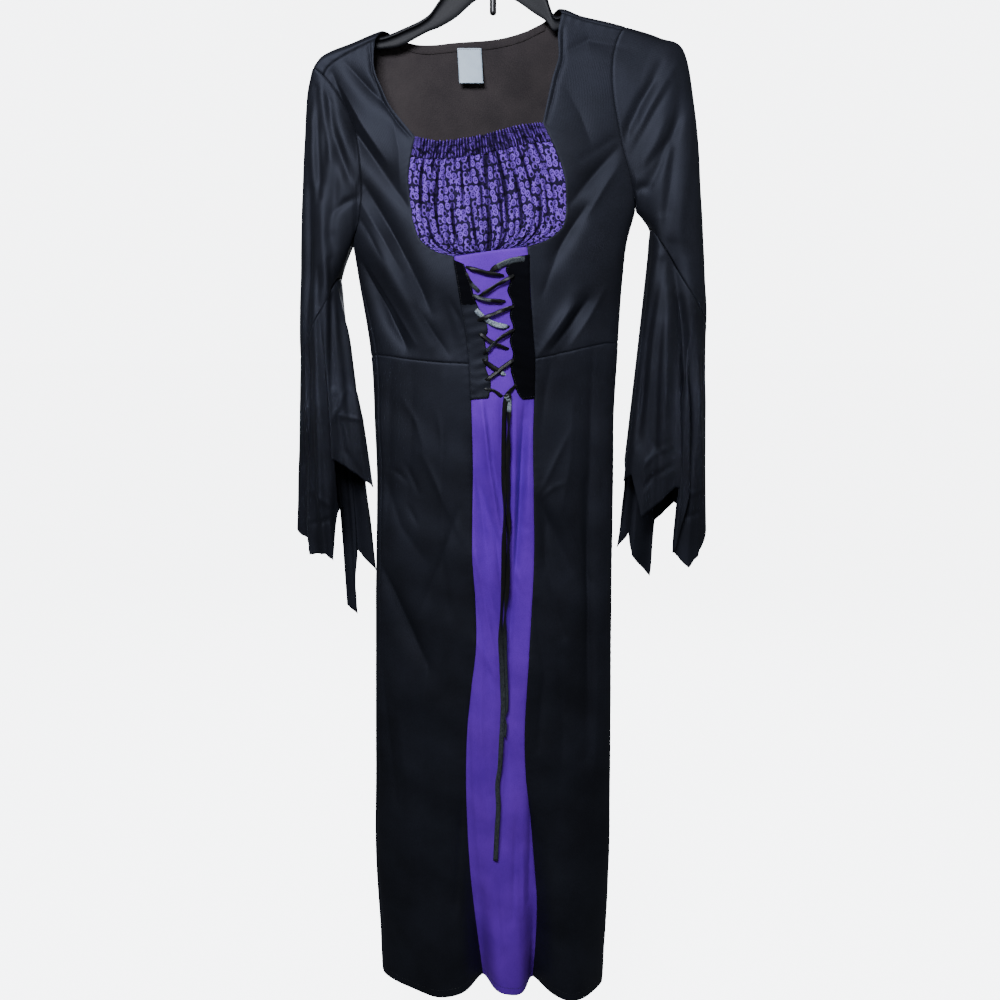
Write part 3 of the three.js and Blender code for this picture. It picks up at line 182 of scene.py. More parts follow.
CREASES = {
    "front": table("x1 z1 x2 z2 x3 z3 width depth", [
        (-176, -198, -147, -229, -124, -250, 5, -2.2), (-192, -209, -168, -275, -125, -335, 6, -3.4),
        (-125, -335, -112, -352, -98, -372, 5, -1.6), (-184, -222, -158, -268, -128, -312, 5, 2.0),
        (-159, -335, -122, -399, -104, -431, 6, -3.2), (-104, -431, -90, -460, -77, -489, 6, -2.8),
        (-166, -352, -132, -404, -108, -446, 5, 1.8), (-162, -431, -136, -481, -109, -532, 5, -3.2),
        (-140, -475, -126, -505, -108, -531, 4, -2.0), (-150, -440, -118, -492, -96, -528, 5, 2.0),
        (-93, -485, -74, -515, -56, -540, 5, -2.4), (-53, -476, -41, -498, -32, -527, 4, -1.6),
        (-168, -372, -150, -398, -134, -426, 5, -1.5), (-120, -262, -112, -300, -112, -345, 7, 1.4),
        (79, -191, 113, -173, 151, -180, 8, -1.8), (92, -362, 122, -327, 150, -296, 5, -2.6),
        (73, -426, 92, -395, 112, -365, 5, -2.4), (104, -311, 128, -296, 148, -283, 6, -1.6),
        (114, -376, 138, -335, 154, -311, 5, 1.6), (55, -542, 82, -501, 99, -480, 4, 2.2),
        (71, -535, 94, -507, 116, -475, 4, -2.8), (96, -528, 118, -496, 136, -462, 5, 1.6),
        (60, -470, 70, -440, 84, -410, 4, -1.2), (88, -230, 104, -256, 118, -292, 8, -1.2),
        (-100, -560, -104, -640, -110, -720, 9, -1.6), (-128, -560, -133, -660, -140, -790, 8, -1.4),
        (-60, -570, -66, -700, -62, -840, 9, 1.5), (-143, -820, -124, -870, -87, -949, 7, -2.4),
        (-140, -700, -118, -760, -90, -800, 7, -1.4), (-80, -880, -92, -980, -96, -1120, 10, -1.8),
        (-130, -990, -118, -1100, -112, -1240, 9, 1.5), (-60, -1000, -64, -1140, -58, -1280, 10, 1.6),
        (124, -533, 124, -760, 125, -1075, 6, -2.2), (56, -721, 78, -766, 101, -818, 5, -1.8),
        (56, -721, 70, -810, 90, -904, 6, -1.8), (100, -600, 96, -680, 86, -740, 7, 1.3),
        (86, -930, 92, -1040, 84, -1180, 9, -1.8), (136, -900, 138, -1020, 132, -1160, 8, 1.4),
        (-15, -599, -6, -665, 3, -732, 5, 1.8), (-24, -687, -15, -739, -8, -801, 4, -2.0),
        (39, -601, 34, -701, 30, -801, 4, -2.4), (20, -820, 17, -960, 22, -1090, 6, -1.8),
        (-12, -860, -16, -980, -18, -1120, 6, 1.6), (40, -640, 44, -700, 43, -770, 5, 1.4),
        (2, -1150, 8, -1240, 14, -1330, 8, 1.5), (32, -1130, 36, -1240, 40, -1340, 7, -1.6),
        (-147, -813, -118, -875, -89, -942, 4, -2.2), (-90, -663, -65, -718, -40, -774, 4, 1.6),
        (-44, -735, -66, -800, -97, -875, 5, -1.4), (-66, -782, -62, -831, -58, -875, 4, -1.2),
        (-63, -933, -65, -965, -66, -1002, 5, -1.0), (-148, -951, -141, -1044, -132, -1138, 7, -2.6),
        (-43, -1138, -47, -1211, -53, -1285, 6, -2.4), (-130, -686, -120, -692, -111, -701, 3, -1.1),
        (-113, -678, -103, -697, -95, -716, 3, -1.2), (-70, -613, -66, -634, -62, -659, 4, 1.0),
        (-110, -731, -103, -744, -97, -756, 3, -1.0), (-113, -596, -97, -625, -87, -659, 4, 1.2),
        (53, -861, 67, -951, 59, -1058, 7, -3.0), (119, -701, 125, -861, 130, -1062, 5, -2.0),
        (78, -709, 106, -782, 128, -835, 4, -1.4), (57, -817, 75, -857, 92, -906, 4, -1.6),
        (95, -638, 77, -676, 57, -718, 4, 1.3), (108, -756, 114, -787, 122, -817, 3, 1.0),
        (61, -697, 67, -756, 66, -817, 5, -1.8), (90, -701, 73, -709, 59, -722, 3, 1.0),
        (131, -659, 140, -688, 143, -718, 4, -1.0), (72, -547, 64, -588, 60, -630, 6, -1.2),
        (-17, -705, 4, -774, 13, -861, 4, -3.2), (-14, -605, -4, -659, 6, -705, 4, 1.8),
        (-26, -791, -7, -835, 6, -888, 4, 2.0), (25, -605, 26, -731, 23, -861, 4, 1.6),
        (44, -599, 36, -722, 19, -929, 3.5, -2.8), (-24, -906, -9, -933, 4, -961, 3.5, 1.4),
        (42, -1105, 53, -1177, 60, -1260, 5, -2.2), (27, -795, 40, -835, 45, -861, 3, -1.0),
        (10, -600, 11, -646, 11, -700, 4, -2.6), (-20, -990, -12, -1080, -8, -1180, 7, 1.6),
        (-147, -178, -144, -210, -130, -246, 2.6, -1.8), (-134, -240, -114, -268, -98, -286, 2.6, -2.0),
        (83, -160, 83, -196, 76, -218, 2.6, -1.6), (78, -210, 71, -240, 63, -270, 2.6, -1.6),
        (-14, -598, -6, -675, 9, -769, 3, 2.4), (-9, -600, -2, -675, 12, -760, 4, -2.6),
        (21, -636, 23, -798, 20, -979, 3.5, -2.6), (39, -605, 35, -689, 28, -812, 3, -2.8),
        (28, -601, 28, -689, 24, -799, 3, 1.6), (44, -626, 45, -665, 43, -709, 4, 1.8),
        (-25, -776, -11, -857, 5, -953, 3, 2.0), (-25, -839, -15, -905, -3, -968, 4, -2.2),
        (25, -816, 31, -836, 38, -851, 2.5, -1.2), (29, -754, 39, -758, 49, -762, 2.5, -0.9),
        (20, -758, 23, -764, 26, -769, 2.5, -0.9), (29, -1159, 28, -1234, 26, -1298, 4, -1.8),
        (39, -1197, 40, -1244, 40, -1298, 3, 1.4), (47, -1110, 50, -1197, 48, -1280, 3, -2.0),
        (-28, -1012, -28, -1103, -18, -1254, 4, 1.6), (20, -1051, 14, -1139, 10, -1213, 3.5, -2.0),
        (-31, -933, -33, -1043, -30, -1156, 4, -1.6), (2, -1244, 8, -1319, 14, -1387, 5, -1.4),
    ]),
    "back": table("x1 z1 x2 z2 x3 z3 width depth", [
        (-150, -230, -120, -262, -92, -280, 8, -2.0), (-138, -270, -108, -322, -66, -372, 7, -2.6),
        (-150, -380, -120, -430, -84, -500, 8, -2.6), (-120, -400, -92, -450, -60, -512, 7, 2.0),
        (128, -240, 96, -282, 62, -318, 8, -2.2), (138, -300, 112, -350, 78, -400, 7, -2.4),
        (132, -420, 112, -460, 84, -516, 8, -2.6), (20, -250, 8, -300, -10, -340, 12, -1.6),
        (-40, -540, -46, -700, -40, -900, 9, 1.8), (-110, -560, -118, -720, -112, -900, 9, -2.2),
        (20, -560, 26, -720, 18, -930, 10, -2.0), (104, -560, 112, -700, 118, -860, 8, 1.8),
        (-90, -900, -60, -960, -20, -1010, 9, -2.0), (96, -880, 70, -930, 40, -1000, 9, -1.8),
        (-120, -1050, -116, -1180, -110, -1320, 9, 1.8), (36, -1080, 40, -1200, 44, -1340, 10, 2.0),
    ]),
}
FLUTES = {
    "front": table("xTop zTop xHem width depth", [
        (-38, -1040, -17, 15, -42), (50, -1040, 61, 15, -42), (-80, -1060, -74, 26, 6),
        (100, -1060, 106, 30, 14),
    ]),
    "back": table("xTop zTop xHem width depth", [
        (-70, -900, -62, 24, -20), (70, -900, 58, 24, -18), (0, -1000, -4, 28, 8),
    ]),
}
HEM_LEVEL = -1405
CREASE_PEAK, CRUMPLE = 1.2, 1.45

# %% Points of the draped surface
def ridge_at(x):
    return look(RIDGE, "x", "z", x)


def drop_of(down):
    quarter, run = RIDGE_ROUND * math.pi / 2, np.abs(down)
    rolled = RIDGE_ROUND * (1 - np.cos(np.minimum(run, quarter) / RIDGE_ROUND))
    return np.where(run < quarter, rolled, RIDGE_ROUND + run - quarter)


def run_of(drop):
    quarter, drop = RIDGE_ROUND * math.pi / 2, np.maximum(drop, 0)
    rolled = RIDGE_ROUND * np.arccos(1 - np.minimum(drop, RIDGE_ROUND) / RIDGE_ROUND)
    return np.where(drop < RIDGE_ROUND, rolled, quarter + drop - RIDGE_ROUND)


def torso(across, down):
    over = np.abs(across) > 1
    down = np.where(over, -down, down)
    across = np.where(over, np.sign(across) * 2 - across, across)
    angle, drop = across * math.pi / 2, drop_of(down)
    x = np.sin(angle) * 200
    for _ in range(9):
        z = ridge_at(x) - drop
        left, right = look(TORSO, "z", "left", z), look(TORSO, "z", "right", z)
        x = (left + right) / 2 + (right - left) / 2 * np.sin(angle)
    z = ridge_at(x) - drop
    depth = np.where(down < 0, look(TORSO, "z", "front", z), look(TORSO, "z", "back", z))
    rolled = np.sin(np.minimum(np.abs(down) / RIDGE_ROUND, math.pi / 2))
    return np.stack([x, np.where(down < 0, -1, 1) * depth * np.cos(angle) * rolled, z], axis=-1)


def unit(v):
    return v / np.maximum(np.linalg.norm(v, axis=-1, keepdims=True), 1e-9)


def fold_lift(folds, x, z, peak=2.0):
    """Height of the folds: a soft wave at peak 2, a sharper crease below that."""
    lift = np.zeros_like(x)
    for x1, z1, x2, z2, x3, z3, width, depth in zip(*folds.values()):
        best, share = np.full_like(x, 1e9), np.zeros_like(x)
        for i, (ax, az, bx, bz) in enumerate([(x1, z1, x2, z2), (x2, z2, x3, z3)]):
            length2 = (bx - ax) ** 2 + (bz - az) ** 2
            t = np.clip(((x - ax) * (bx - ax) + (z - az) * (bz - az)) / length2, 0, 1)
            distance = np.hypot(x - mix(ax, bx, t), z - mix(az, bz, t))
            share = np.where(distance < best, (i + t) / 2, share)
            best = np.minimum(best, distance)
        lift += depth * np.exp(-((best / width) ** peak)) * np.sin(math.pi * mix(0.12, 0.88, share))
    return lift


def flute_lift(flutes, x, z):
    lift = np.zeros_like(x)
    for x_top, z_top, x_hem, width, depth in zip(*flutes.values()):
        share = np.clip((z_top - z) / (z_top - HEM_LEVEL), 0, None)
        lift += depth * share ** 2 * np.exp(-(((x - mix(x_top, x_hem, share)) / width) ** 2))
    return lift


def stir(x, z, y):
    """The faint unevenness that limp cloth always has."""
    waves = [(41, 17, 0.3, 0.45), (23, -31, 1.9, 0.35), (-67, 29, 4.1, 0.5), (13, 57, 2.2, 0.22),
             (19, 9, 5.0, 0.18)]
    return sum(size * np.sin(x / a + z / b + shift + np.sign(y) * 1.3) for a, b, shift, size in waves)


def cloth(across, down, lift=0.0, crumple=CRUMPLE):
    across, down = np.asarray(across, float), np.asarray(down, float)
    point = torso(across, down)
    normal = unit(np.cross(torso(across + 0.002, down) - torso(across - 0.002, down),
                           torso(across, down + 0.4) - torso(across, down - 0.4)))
    x, y, z = np.moveaxis(point, -1, 0)
    each = [fold_lift(FOLDS[face], x, z) + flute_lift(FLUTES[face], x, z)
            + crumple * fold_lift(CREASES[face], x, z, CREASE_PEAK) for face in ("front", "back")]
    folds = np.where(y < 0, *each) + crumple * stir(x, z, y)
    edge = np.minimum(np.abs(y) / 12, 1)
    return point + normal * (folds * edge + lift)[..., None], normal


def across_at(x, down):
    z = ridge_at(x) - drop_of(down)
    left, right = look(TORSO, "z", "left", z), look(TORSO, "z", "right", z)
    return np.arcsin(np.clip((x - (left + right) / 2) / ((right - left) / 2), -1, 1)) * 2 / math.pi


def spread(points, face="front"):
    points = np.asarray(points, float)
    x, z = points[..., 0], points[..., 1]
    down = run_of(ridge_at(x) - z)
    return np.stack([across_at(x, down), -down if face == "front" else down], axis=-1)


print("middle of the bust", cloth(np.array([0.0]), np.array([-280.0]))[0].round(1))

# %% [markdown]
# ## From a grid of points to a sewn panel
# A panel is a grid of points with a normal at each. Its neighbours share its seam line, so a sewn edge is
# rolled inwards by less than a millimetre: two rolled edges side by side are what the eye reads as a seam.
# The thread also pulls the cloth into small uneven puckers. A shell gets an outer face, an inner face and
# a rim, and a UV map that is measured along the cloth, so that the knit never stretches.

# %% Seams and shells
CLOTH = 1.0
# Gathers finer than the mesh draws, as a share of the width across. Both are guesses.
FULLNESS = {"insert": 1.15, "casing": 1.2}
# The binding shows 9.6 mm, but a sheet's declared cut has to be 10 mm wide or more.
BINDING_CUT = 0.0105


def doubled(coords, sides="tblr"):
    """Two extra lines close to each named edge, where the cloth rolls in."""
    for side in sides:
        axis = 0 if side in "tb" else 1
        grid = np.moveaxis(coords, axis, 0)
        grid = grid[::-1] if side in "br" else grid
        extra = [mix(grid[0], grid[1], share) for share in (0.3, 0.65)]
        grid = np.concatenate([grid[:1], extra, grid[1:]])
        grid = grid[::-1] if side in "br" else grid
        coords = np.moveaxis(grid, 0, axis)
    return coords


def runs(points, axis):
    """Distance over the cloth from the first line of points, along one direction of the grid."""
    step = np.linalg.norm(np.diff(points, axis=axis), axis=-1)
    start = np.zeros_like(np.take(step, [0], axis=axis))
    return np.concatenate([start, np.cumsum(step, axis=axis)], axis=axis)


def seamed(points, normals, seams="tblr", roll=0.8, pucker=0.35):
    down, over = runs(points, 0), runs(points, 1)
    away = {"t": down, "b": down[-1:] - down, "l": over, "r": over[:, -1:] - over}
    lift = np.zeros(points.shape[:2])
    for side in seams:
        d, s = away[side], over if side in "tb" else down
        ripple = np.sin(s / 1.9 + 1.7 * np.sin(s / 13)) * (0.6 + 0.4 * np.sin(s / 21 + 1))
        lift += -roll * np.exp(-((d / 1.3) ** 2)) + pucker * ripple * np.exp(-d / 5) * (1 - np.exp(-d / 1.5))
    return points + normals * lift[..., None]


def mesh_object(name, verts, faces, uvs, marks=None):
    mesh = bpy.data.meshes.new(name)
    mesh.from_pydata(np.asarray(verts * MM).tolist(), [], np.asarray(faces).tolist())
    layer = mesh.uv_layers.new(name="cut")
    layer.data.foreach_set("uv", np.asarray(uvs, np.float32).ravel() * MM)
    mesh.polygons.foreach_set("use_smooth", [True] * len(mesh.polygons))
    for mark, values in (marks or {}).items():
        mesh.attributes.new(mark, "FLOAT", "POINT").data.foreach_set("value", np.ravel(values).astype(np.float32))
    mesh.update()
    made = bpy.data.objects.new(name, mesh)
    bpy.context.scene.collection.objects.link(made)
    return made


def grid_faces(points, inner, ring):
    rows, cols = points.shape[:2]
    verts = np.concatenate([points.reshape(-1, 3), inner.reshape(-1, 3)])
    wide = cols + 1 if ring else cols
    closed = np.concatenate([points, points[:, :1]], axis=1) if ring else points
    u, v = runs(closed, 1), runs(closed, 0)
    u = u - u[:, wide // 2:wide // 2 + 1]
    r, c = [a.ravel() for a in np.meshgrid(np.arange(rows - 1), np.arange(wide - 1), indexing="ij")]
    sheet = [(r, c, 0), (r, c + 1, 0), (r + 1, c + 1, 0), (r + 1, c, 0)]
    under = [(r, c, 1), (r + 1, c, 1), (r + 1, c + 1, 1), (r, c + 1, 1)]
    k, zero = np.arange(wide - 1), np.zeros(wide - 1, int)
    last = zero + rows - 1
    quads = [sheet, under, [(zero, k + 1, 0), (zero, k, 0), (zero, k, 1), (zero, k + 1, 1)],
             [(last, k, 0), (last, k + 1, 0), (last, k + 1, 1), (last, k, 1)]]
    if not ring:
        k, zero = np.arange(rows - 1), np.zeros(rows - 1, int)
        last = zero + cols - 1
        quads += [[(k, zero, 0), (k + 1, zero, 0), (k + 1, zero, 1), (k, zero, 1)],
                  [(k + 1, last, 0), (k, last, 0), (k, last, 1), (k + 1, last, 1)]]
    faces = np.concatenate([np.stack([layer * rows * cols + a * cols + b % cols for a, b, layer in quad], axis=1)
                            for quad in quads])
    uvs = np.concatenate([np.stack([np.stack([u[a, b], v[a, b]], axis=-1) for a, b, layer in quad], axis=1)
                          for quad in quads])
    a, b, c, d = (verts[faces[:, i]] for i in range(4))
    volume = np.einsum("ij,ij->", a, np.cross(b, c)) + np.einsum("ij,ij->", a, np.cross(c, d))
    return (verts, faces, uvs) if volume > 0 else (verts, faces[:, ::-1], uvs[:, ::-1])


GRIDS = {}


def shell(name, points, normals, wall=CLOTH, ring=False, marks=None):
    doubled_marks = {mark: np.concatenate([np.ravel(value)] * 2) for mark, value in (marks or {}).items()}
    made = mesh_object(name, *grid_faces(points, points - normals * wall, ring), doubled_marks)
    rows, cols = points.shape[:2]
    GRIDS[name] = points, normals, (rows - 1) * (cols if ring else cols - 1)
    return made


def dress_piece(piece, nodes, material, fullness=1.0, cut=None, inside=None):
    """Ties a panel to the frame and states the cut it was sewn from."""
    piece.data.materials.append(material)
    points, _, side = GRIDS[piece.name]
    if inside:
        piece.data.materials.append(inside)
        for face in piece.data.polygons[side:2 * side]:
            face.material_index = 1
    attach(piece, "root")
    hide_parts(*nodes)
    area = sum(face.area for face in piece.data.polygons[:side]) * fullness
    # Measured along the cloth itself: its widest row and longest column, or a tube's mean width all round.
    wide, tall = (np.linalg.norm(np.diff(points, axis=axis), axis=-1).sum(axis=axis).max() * MM for axis in (1, 0))
    tube = side == (len(points) - 1) * points.shape[1]
    cut = (cut or (area / tall if tube else wide * fullness), tall)
    print(f"{piece.name}: {len(piece.data.polygons) * 2} triangles, cut {cut[0]:.3f} x {cut[1]:.3f} m, {area:.4f} m2")

# %% [markdown]
# ## The two loose tails of the lace
# The lace is one narrow satin ribbon. Below its knot two ends hang free over the purple panel, a long one
# that nearly reaches the hem and a short one. A ribbon is a thin flat strip that cups a little across its
# width and turns slowly along its length, so each cross-section is a shallow arc set on the route.

# %% Tails
RIBBON = {"width": 6.4, "wall": 0.55}
TAILS = {
    "long": (5.6, [(16, -590), (14, -606), (13, -641), (13, -720), (13, -797), (12, -844), (9, -906), (11, -959),
                   (12, -1000), (10, -1042), (8, -1080), (5, -1104), (6, -1136), (4, -1169), (3, -1192), (2, -1211)]),
    "short": (4.3, [(19, -589), (19, -606), (18, -641), (19, -720), (18, -797), (17, -844), (14, -906), (15, -959),
                    (16, -984), (15, -1014), (13, -1038)]),
}


def ribbon_grid(path, normals, twist, cup=0.5, width=RIBBON["width"]):
    """Rows of five points across the ribbon, and a normal at each."""
    way = unit(np.gradient(path, axis=0))
    across = unit(np.cross(way, normals))
    normals = unit(np.cross(across, way))
    turn = np.asarray(twist)[:, None]
    across, normals = across * np.cos(turn) + normals * np.sin(turn), normals * np.cos(turn) - across * np.sin(turn)
    s = np.linspace(-1, 1, 5)[None, :, None]
    grid = path[:, None] + across[:, None] * s * width / 2 - normals[:, None] * cup * (s ** 2 - 0.4)
    return grid, unit(normals[:, None] + across[:, None] * s * cup * 4 / width)


def length_to(points):
    return np.hypot(*np.diff(np.array(points, float), axis=0).T).sum()


def tail(name, lift, points, shift):
    steps = (len(points) - 1) * 12
    route = cloth(*np.moveaxis(spread(along(points, steps)), -1, 0), lift, crumple=0.0)[0]
    s = np.linspace(0, 1, steps + 1)
    upper = 1 / (1 + np.exp((s * length_to(points) - 330) / 25))
    twist = (0.22 + 0.75 * upper) * np.sin(s * 17 + shift) + 0.3 * upper * np.sin(s * 41 + shift * 2)
    # Below about 330 mm both tails get a faint grey painted on as sheen; near the top of the short tail its pale back
    # face shows.
    silver = 0.14 * (1 - upper)
    if name == "short":
        silver = silver + 0.85 * (np.abs(s * length_to(points) - 13) < 9)
        twist = twist + 2.7 / (1 + np.exp((0.94 - s) / 0.008))
    facing = np.tile([0.0, -1.0, 0.0], (steps + 1, 1))
    grid, normals = ribbon_grid(route, facing, twist * np.minimum(s * 12, 1))
    made = shell("lace_" + name + "_tail", grid, normals, RIBBON["wall"], marks={"reverse": np.repeat(silver, 5)})
    length = np.linalg.norm(np.diff(route, axis=0), axis=1).sum()
    return made, route, length


cords = {}
for name, (lift, points) in TAILS.items():
    piece, route, length = tail(name, lift, points, 0.6 if name == "long" else 3.4)
    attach(piece, "root")
    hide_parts("lace_tail_" + name)
    way = [tuple(p) for p in route[::10] * MM]
    cords[name] = piece
    print(f"{name} tail {length:.0f} mm")

# %% [markdown]
# ## The seam lines
# Seams are points measured on the front or the back as it hangs. Sewn panels read the same lists, so
# they meet along one line without a gap.

# %% Seam tables
SHOULDER_SEAM_R = [(-140, -172), (-157, -179), (-179, -190), (-197, -202)]
SHOULDER_SEAM_L = [(81, -142), (95, -146), (112, -151), (140, -158)]
NECK_EDGE_R = [(-140, -172), (-143, -188), (-139, -210), (-124, -246), (-104, -271), (-93, -284)]
NECK_EDGE_L = [(81, -142), (77, -160), (77, -196), (71, -214), (59, -268)]
INSERT_EDGE_R = [(-93, -284), (-100, -321), (-101, -345), (-92, -396), (-77, -414), (-47, -424)]
INSERT_EDGE_L = [(59, -268), (80, -314), (87, -345), (85, -386), (69, -402), (41, -413)]
CENTRE_EDGE_R = [(-47, -424), (-38, -475), (-31, -529), (-29, -552)]
CENTRE_EDGE_L = [(41, -413), (44, -446), (48, -511), (51, -546)]
CENTRE_SKIRT_R = [(-29, -552), (-26, -658), (-27, -801), (-22, -902), (-34, -1017), (-37, -1102), (-33, -1228),
                  (-17, -1398)]
CENTRE_SKIRT_L = [(51, -546), (50, -672), (52, -801), (46, -931), (41, -1069), (51, -1169), (61, -1289), (61, -1405)]
WAIST_R = [(-29, -552), (-70, -550), (-118, -545), (-146, -541)]
WAIST_L = [(51, -546), (77, -541), (121, -531), (156, -525)]
INSERT_TOP = [(-93, -284), (-67, -289), (-18, -284), (32, -271), (59, -268)]
BACK_NECK = [(-112, -166), (-85, -171), (-44, -168), (0, -165), (33, -158), (63, -145)]
NECK_OVER_RIDGE = {"right": -131, "left": 76}
SIDE_SEAM_R = table("z across", [(-404, -1), (-480, -0.86), (-545, -0.8), (-700, -0.82), (-1400, -0.88)])
HEM = table("x z", [(-160, -1398), (-74, -1407), (-17, -1398), (30, -1405), (61, -1405), (106, -1413), (152, -1415)])
SLEEVE_COLUMNS = "outerX outerZ innerX innerZ front back bow"
SLEEVES = {
    "r": {"seam_turn": 25 / 360, "skew": 0.25, "rows": table(SLEEVE_COLUMNS, [
        (-217, -202, -175, -404, 15, 13, 34), (-225, -232, -177, -411, 22, 19, 30),
        (-230, -290, -180, -420, 24, 20, 21), (-236, -370, -184, -431, 26, 22, 11),
        (-241, -460, -187, -440, 27, 23, 4), (-244, -545, -190, -448, 27, 23, 0)])},
    "l": {"seam_turn": 18 / 360, "skew": 0.9, "rows": table(SLEEVE_COLUMNS, [
        (159, -156, 175, -367, 12, 11, -18), (200, -167.5, 179, -371, 20, 18, -16),
        (230, -184, 183, -375, 23, 20, -12), (246, -262, 187, -380, 25, 21, -8),
        (258, -377, 191, -384, 27, 23, -3), (267, -505, 194, -389, 27, 23, 0)])},
}
NECK_ROWS, INSERT_ROWS, CENTRE_ROWS, ARMHOLE_ROWS, SHOULDER_COLS, SKIRT_ROWS = 5, 7, 4, 9, 8, 14
SIDE_ROWS = NECK_ROWS + INSERT_ROWS + CENTRE_ROWS - ARMHOLE_ROWS

# %% Edges of the panels in cloth coordinates
def sleeve_xz(sleeve, row, turn):
    angle = np.asarray(turn) * 2 * math.pi
    bow = row["bow"] * np.abs(np.sin(angle)) ** 1.5 * (1 + sleeve["skew"] * np.cos(angle))
    x = (row["outerX"] + row["innerX"]) / 2 + (row["outerX"] - row["innerX"]) / 2 * np.cos(angle) + bow
    z = (row["outerZ"] + row["innerZ"]) / 2 + (row["outerZ"] - row["innerZ"]) / 2 * np.cos(angle)
    return np.stack([x, z], axis=-1)


def sleeve_row(sleeve, place):
    rows = {**sleeve["rows"], "k": np.arange(6.0)}
    return {name: look(rows, "k", name, place) for name in sleeve["rows"]}


def armhole_turns(sleeve):
    start = sleeve["seam_turn"]
    front = between(start, 0.5, ARMHOLE_ROWS)
    back = np.concatenate([between(0.5, 0.945, 7), [0.975, 1, 1 + start / 2, 1 + start]])
    return front, back


def armhole_at(sleeve, turn, underarm="front"):
    turn = np.asarray(turn, float)
    front = (turn < 0.5) | (turn > 1) | ((turn == 0.5) & (underarm == "front"))
    at = spread(sleeve_xz(sleeve, sleeve_row(sleeve, 0.0), turn))
    at[..., 1] = np.where(front, at[..., 1], -at[..., 1])
    return at


def front_edges(side, shoulder, neck, insert, centre, waist):
    sleeve, right = SLEEVES[side], side == "r"
    armhole = armhole_at(sleeve, armhole_turns(sleeve)[0])
    waist_end = spread(waist[-1])
    waist_end[0] = waist_end[0] if right else 1
    seam = between(armhole[-1], waist_end, SIDE_ROWS)[1:]
    z = ridge_at(-165.0 if right else 165.0) - drop_of(seam[:, 1])
    seam[:, 0] = look(SIDE_SEAM_R, "z", "across", z) if right else 1
    outer = np.concatenate([armhole, seam])
    inner = [along(neck, NECK_ROWS), along(insert, INSERT_ROWS)[1:], along(centre, CENTRE_ROWS)[1:]]
    inner = spread(np.concatenate(inner))
    top = spread(along([*shoulder, sleeve_xz(sleeve, sleeve_row(sleeve, 0.0), sleeve["seam_turn"])], SHOULDER_COLS))
    bottom = spread(along(waist, SHOULDER_COLS))
    top[-1], bottom[-1] = outer[0], outer[-1]
    return {"top": top, "bottom": bottom, "inner": inner, "outer": outer}


def patch(top, bottom, left, right, fade=1):
    s = np.linspace(0, 1, len(top))[None, :, None]
    t = np.linspace(0, 1, len(left))[:, None, None]
    bowed = [edge[None] - mix(edge[0], edge[-1], s) for edge in (top, bottom)]
    return mix(left[:, None], right[:, None], s) + bowed[0] * (1 - t) ** fade + bowed[1] * t ** fade


def hem_under(across, face="front"):
    left, right = (look(TORSO, "z", name, float(HEM_LEVEL)) for name in ("left", "right"))
    x = (left + right) / 2 + (right - left) / 2 * np.sin(across * math.pi / 2)
    return spread(np.stack([x, look(HEM, "x", "z", x)], axis=-1), face)[..., 1]


RIGHT = front_edges("r", SHOULDER_SEAM_R, NECK_EDGE_R, INSERT_EDGE_R, CENTRE_EDGE_R, WAIST_R)
LEFT = front_edges("l", SHOULDER_SEAM_L, NECK_EDGE_L, INSERT_EDGE_L, CENTRE_EDGE_L, WAIST_L)
print("shoulder seam ends", RIGHT["top"][-1].round(3), LEFT["top"][-1].round(3))

# %% [markdown]
# ## Materials
# Everything here is cheap costume cloth. What the eye sees at this distance is the sheen of polyester
# and the depth of its folds, so each cloth has its own sheen, a little colour variation from handling and
# a fine bump for the knit or weave. One small function adds a node with its settings and links.

# %% A node and a colour
def linear(code):
    parts = [int(code[i:i + 2], 16) / 255 for i in (1, 3, 5)]
    return [p / 12.92 if p <= 0.04045 else ((p + 0.055) / 1.055) ** 2.4 for p in parts] + [1]


def add(tree, kind, inputs=None, **settings):
    made = tree.nodes.new(kind)
    for key, value in settings.items():
        setattr(made, key, value)
    for socket, value in (inputs or {}).items():
        if isinstance(value, bpy.types.NodeSocket):
            tree.links.new(value, made.inputs[socket])
        else:
            made.inputs[socket].default_value = value
    return made


def cut_map(tree):
    """Places on the cloth itself, in metres."""
    return add(tree, "ShaderNodeUVMap", uv_map="cut").outputs[0]


def noise(tree, place, scale, detail, **settings):
    inputs = {"Vector": place, "Scale": scale, "Detail": detail, **settings}
    return add(tree, "ShaderNodeTexNoise", inputs).outputs["Fac"]


def blend(tree, share, a, b):
    """From colour a to colour b. Each is a hex code or a socket."""
    a, b = (linear(colour) if isinstance(colour, str) else colour for colour in (a, b))
    return add(tree, "ShaderNodeMix", {"Factor": share, "A": a, "B": b}, data_type="RGBA").outputs["Result"]


def surface(name, colour, bump, **settings):
    """A material from what a function draws: a colour socket and a bump height socket."""
    made = bpy.data.materials.new(name)
    made.use_nodes = True
    tree = made.node_tree
    shader = tree.nodes["Principled BSDF"]
    for socket, value in settings.items():
        shader.inputs[socket.replace("_", " ")].default_value = value
    tree.links.new(colour(tree), shader.inputs["Base Color"])
    height, strength, depth = bump(tree)
    made_bump = add(tree, "ShaderNodeBump", {"Height": height, "Strength": strength, "Distance": depth})
    tree.links.new(made_bump.outputs[0], shader.inputs["Normal"])
    return made

# %% [markdown]
# ### Warp-knit polyester
# The dress is brushed tricot: fine loops in upright wales, about two to the millimetre, which catch the
# light as a faint grey-blue bloom over black. Real wales are far too fine to show from a metre away, so
# they are drawn four times as coarse, and slow noise stands for the way handling turns the loops.

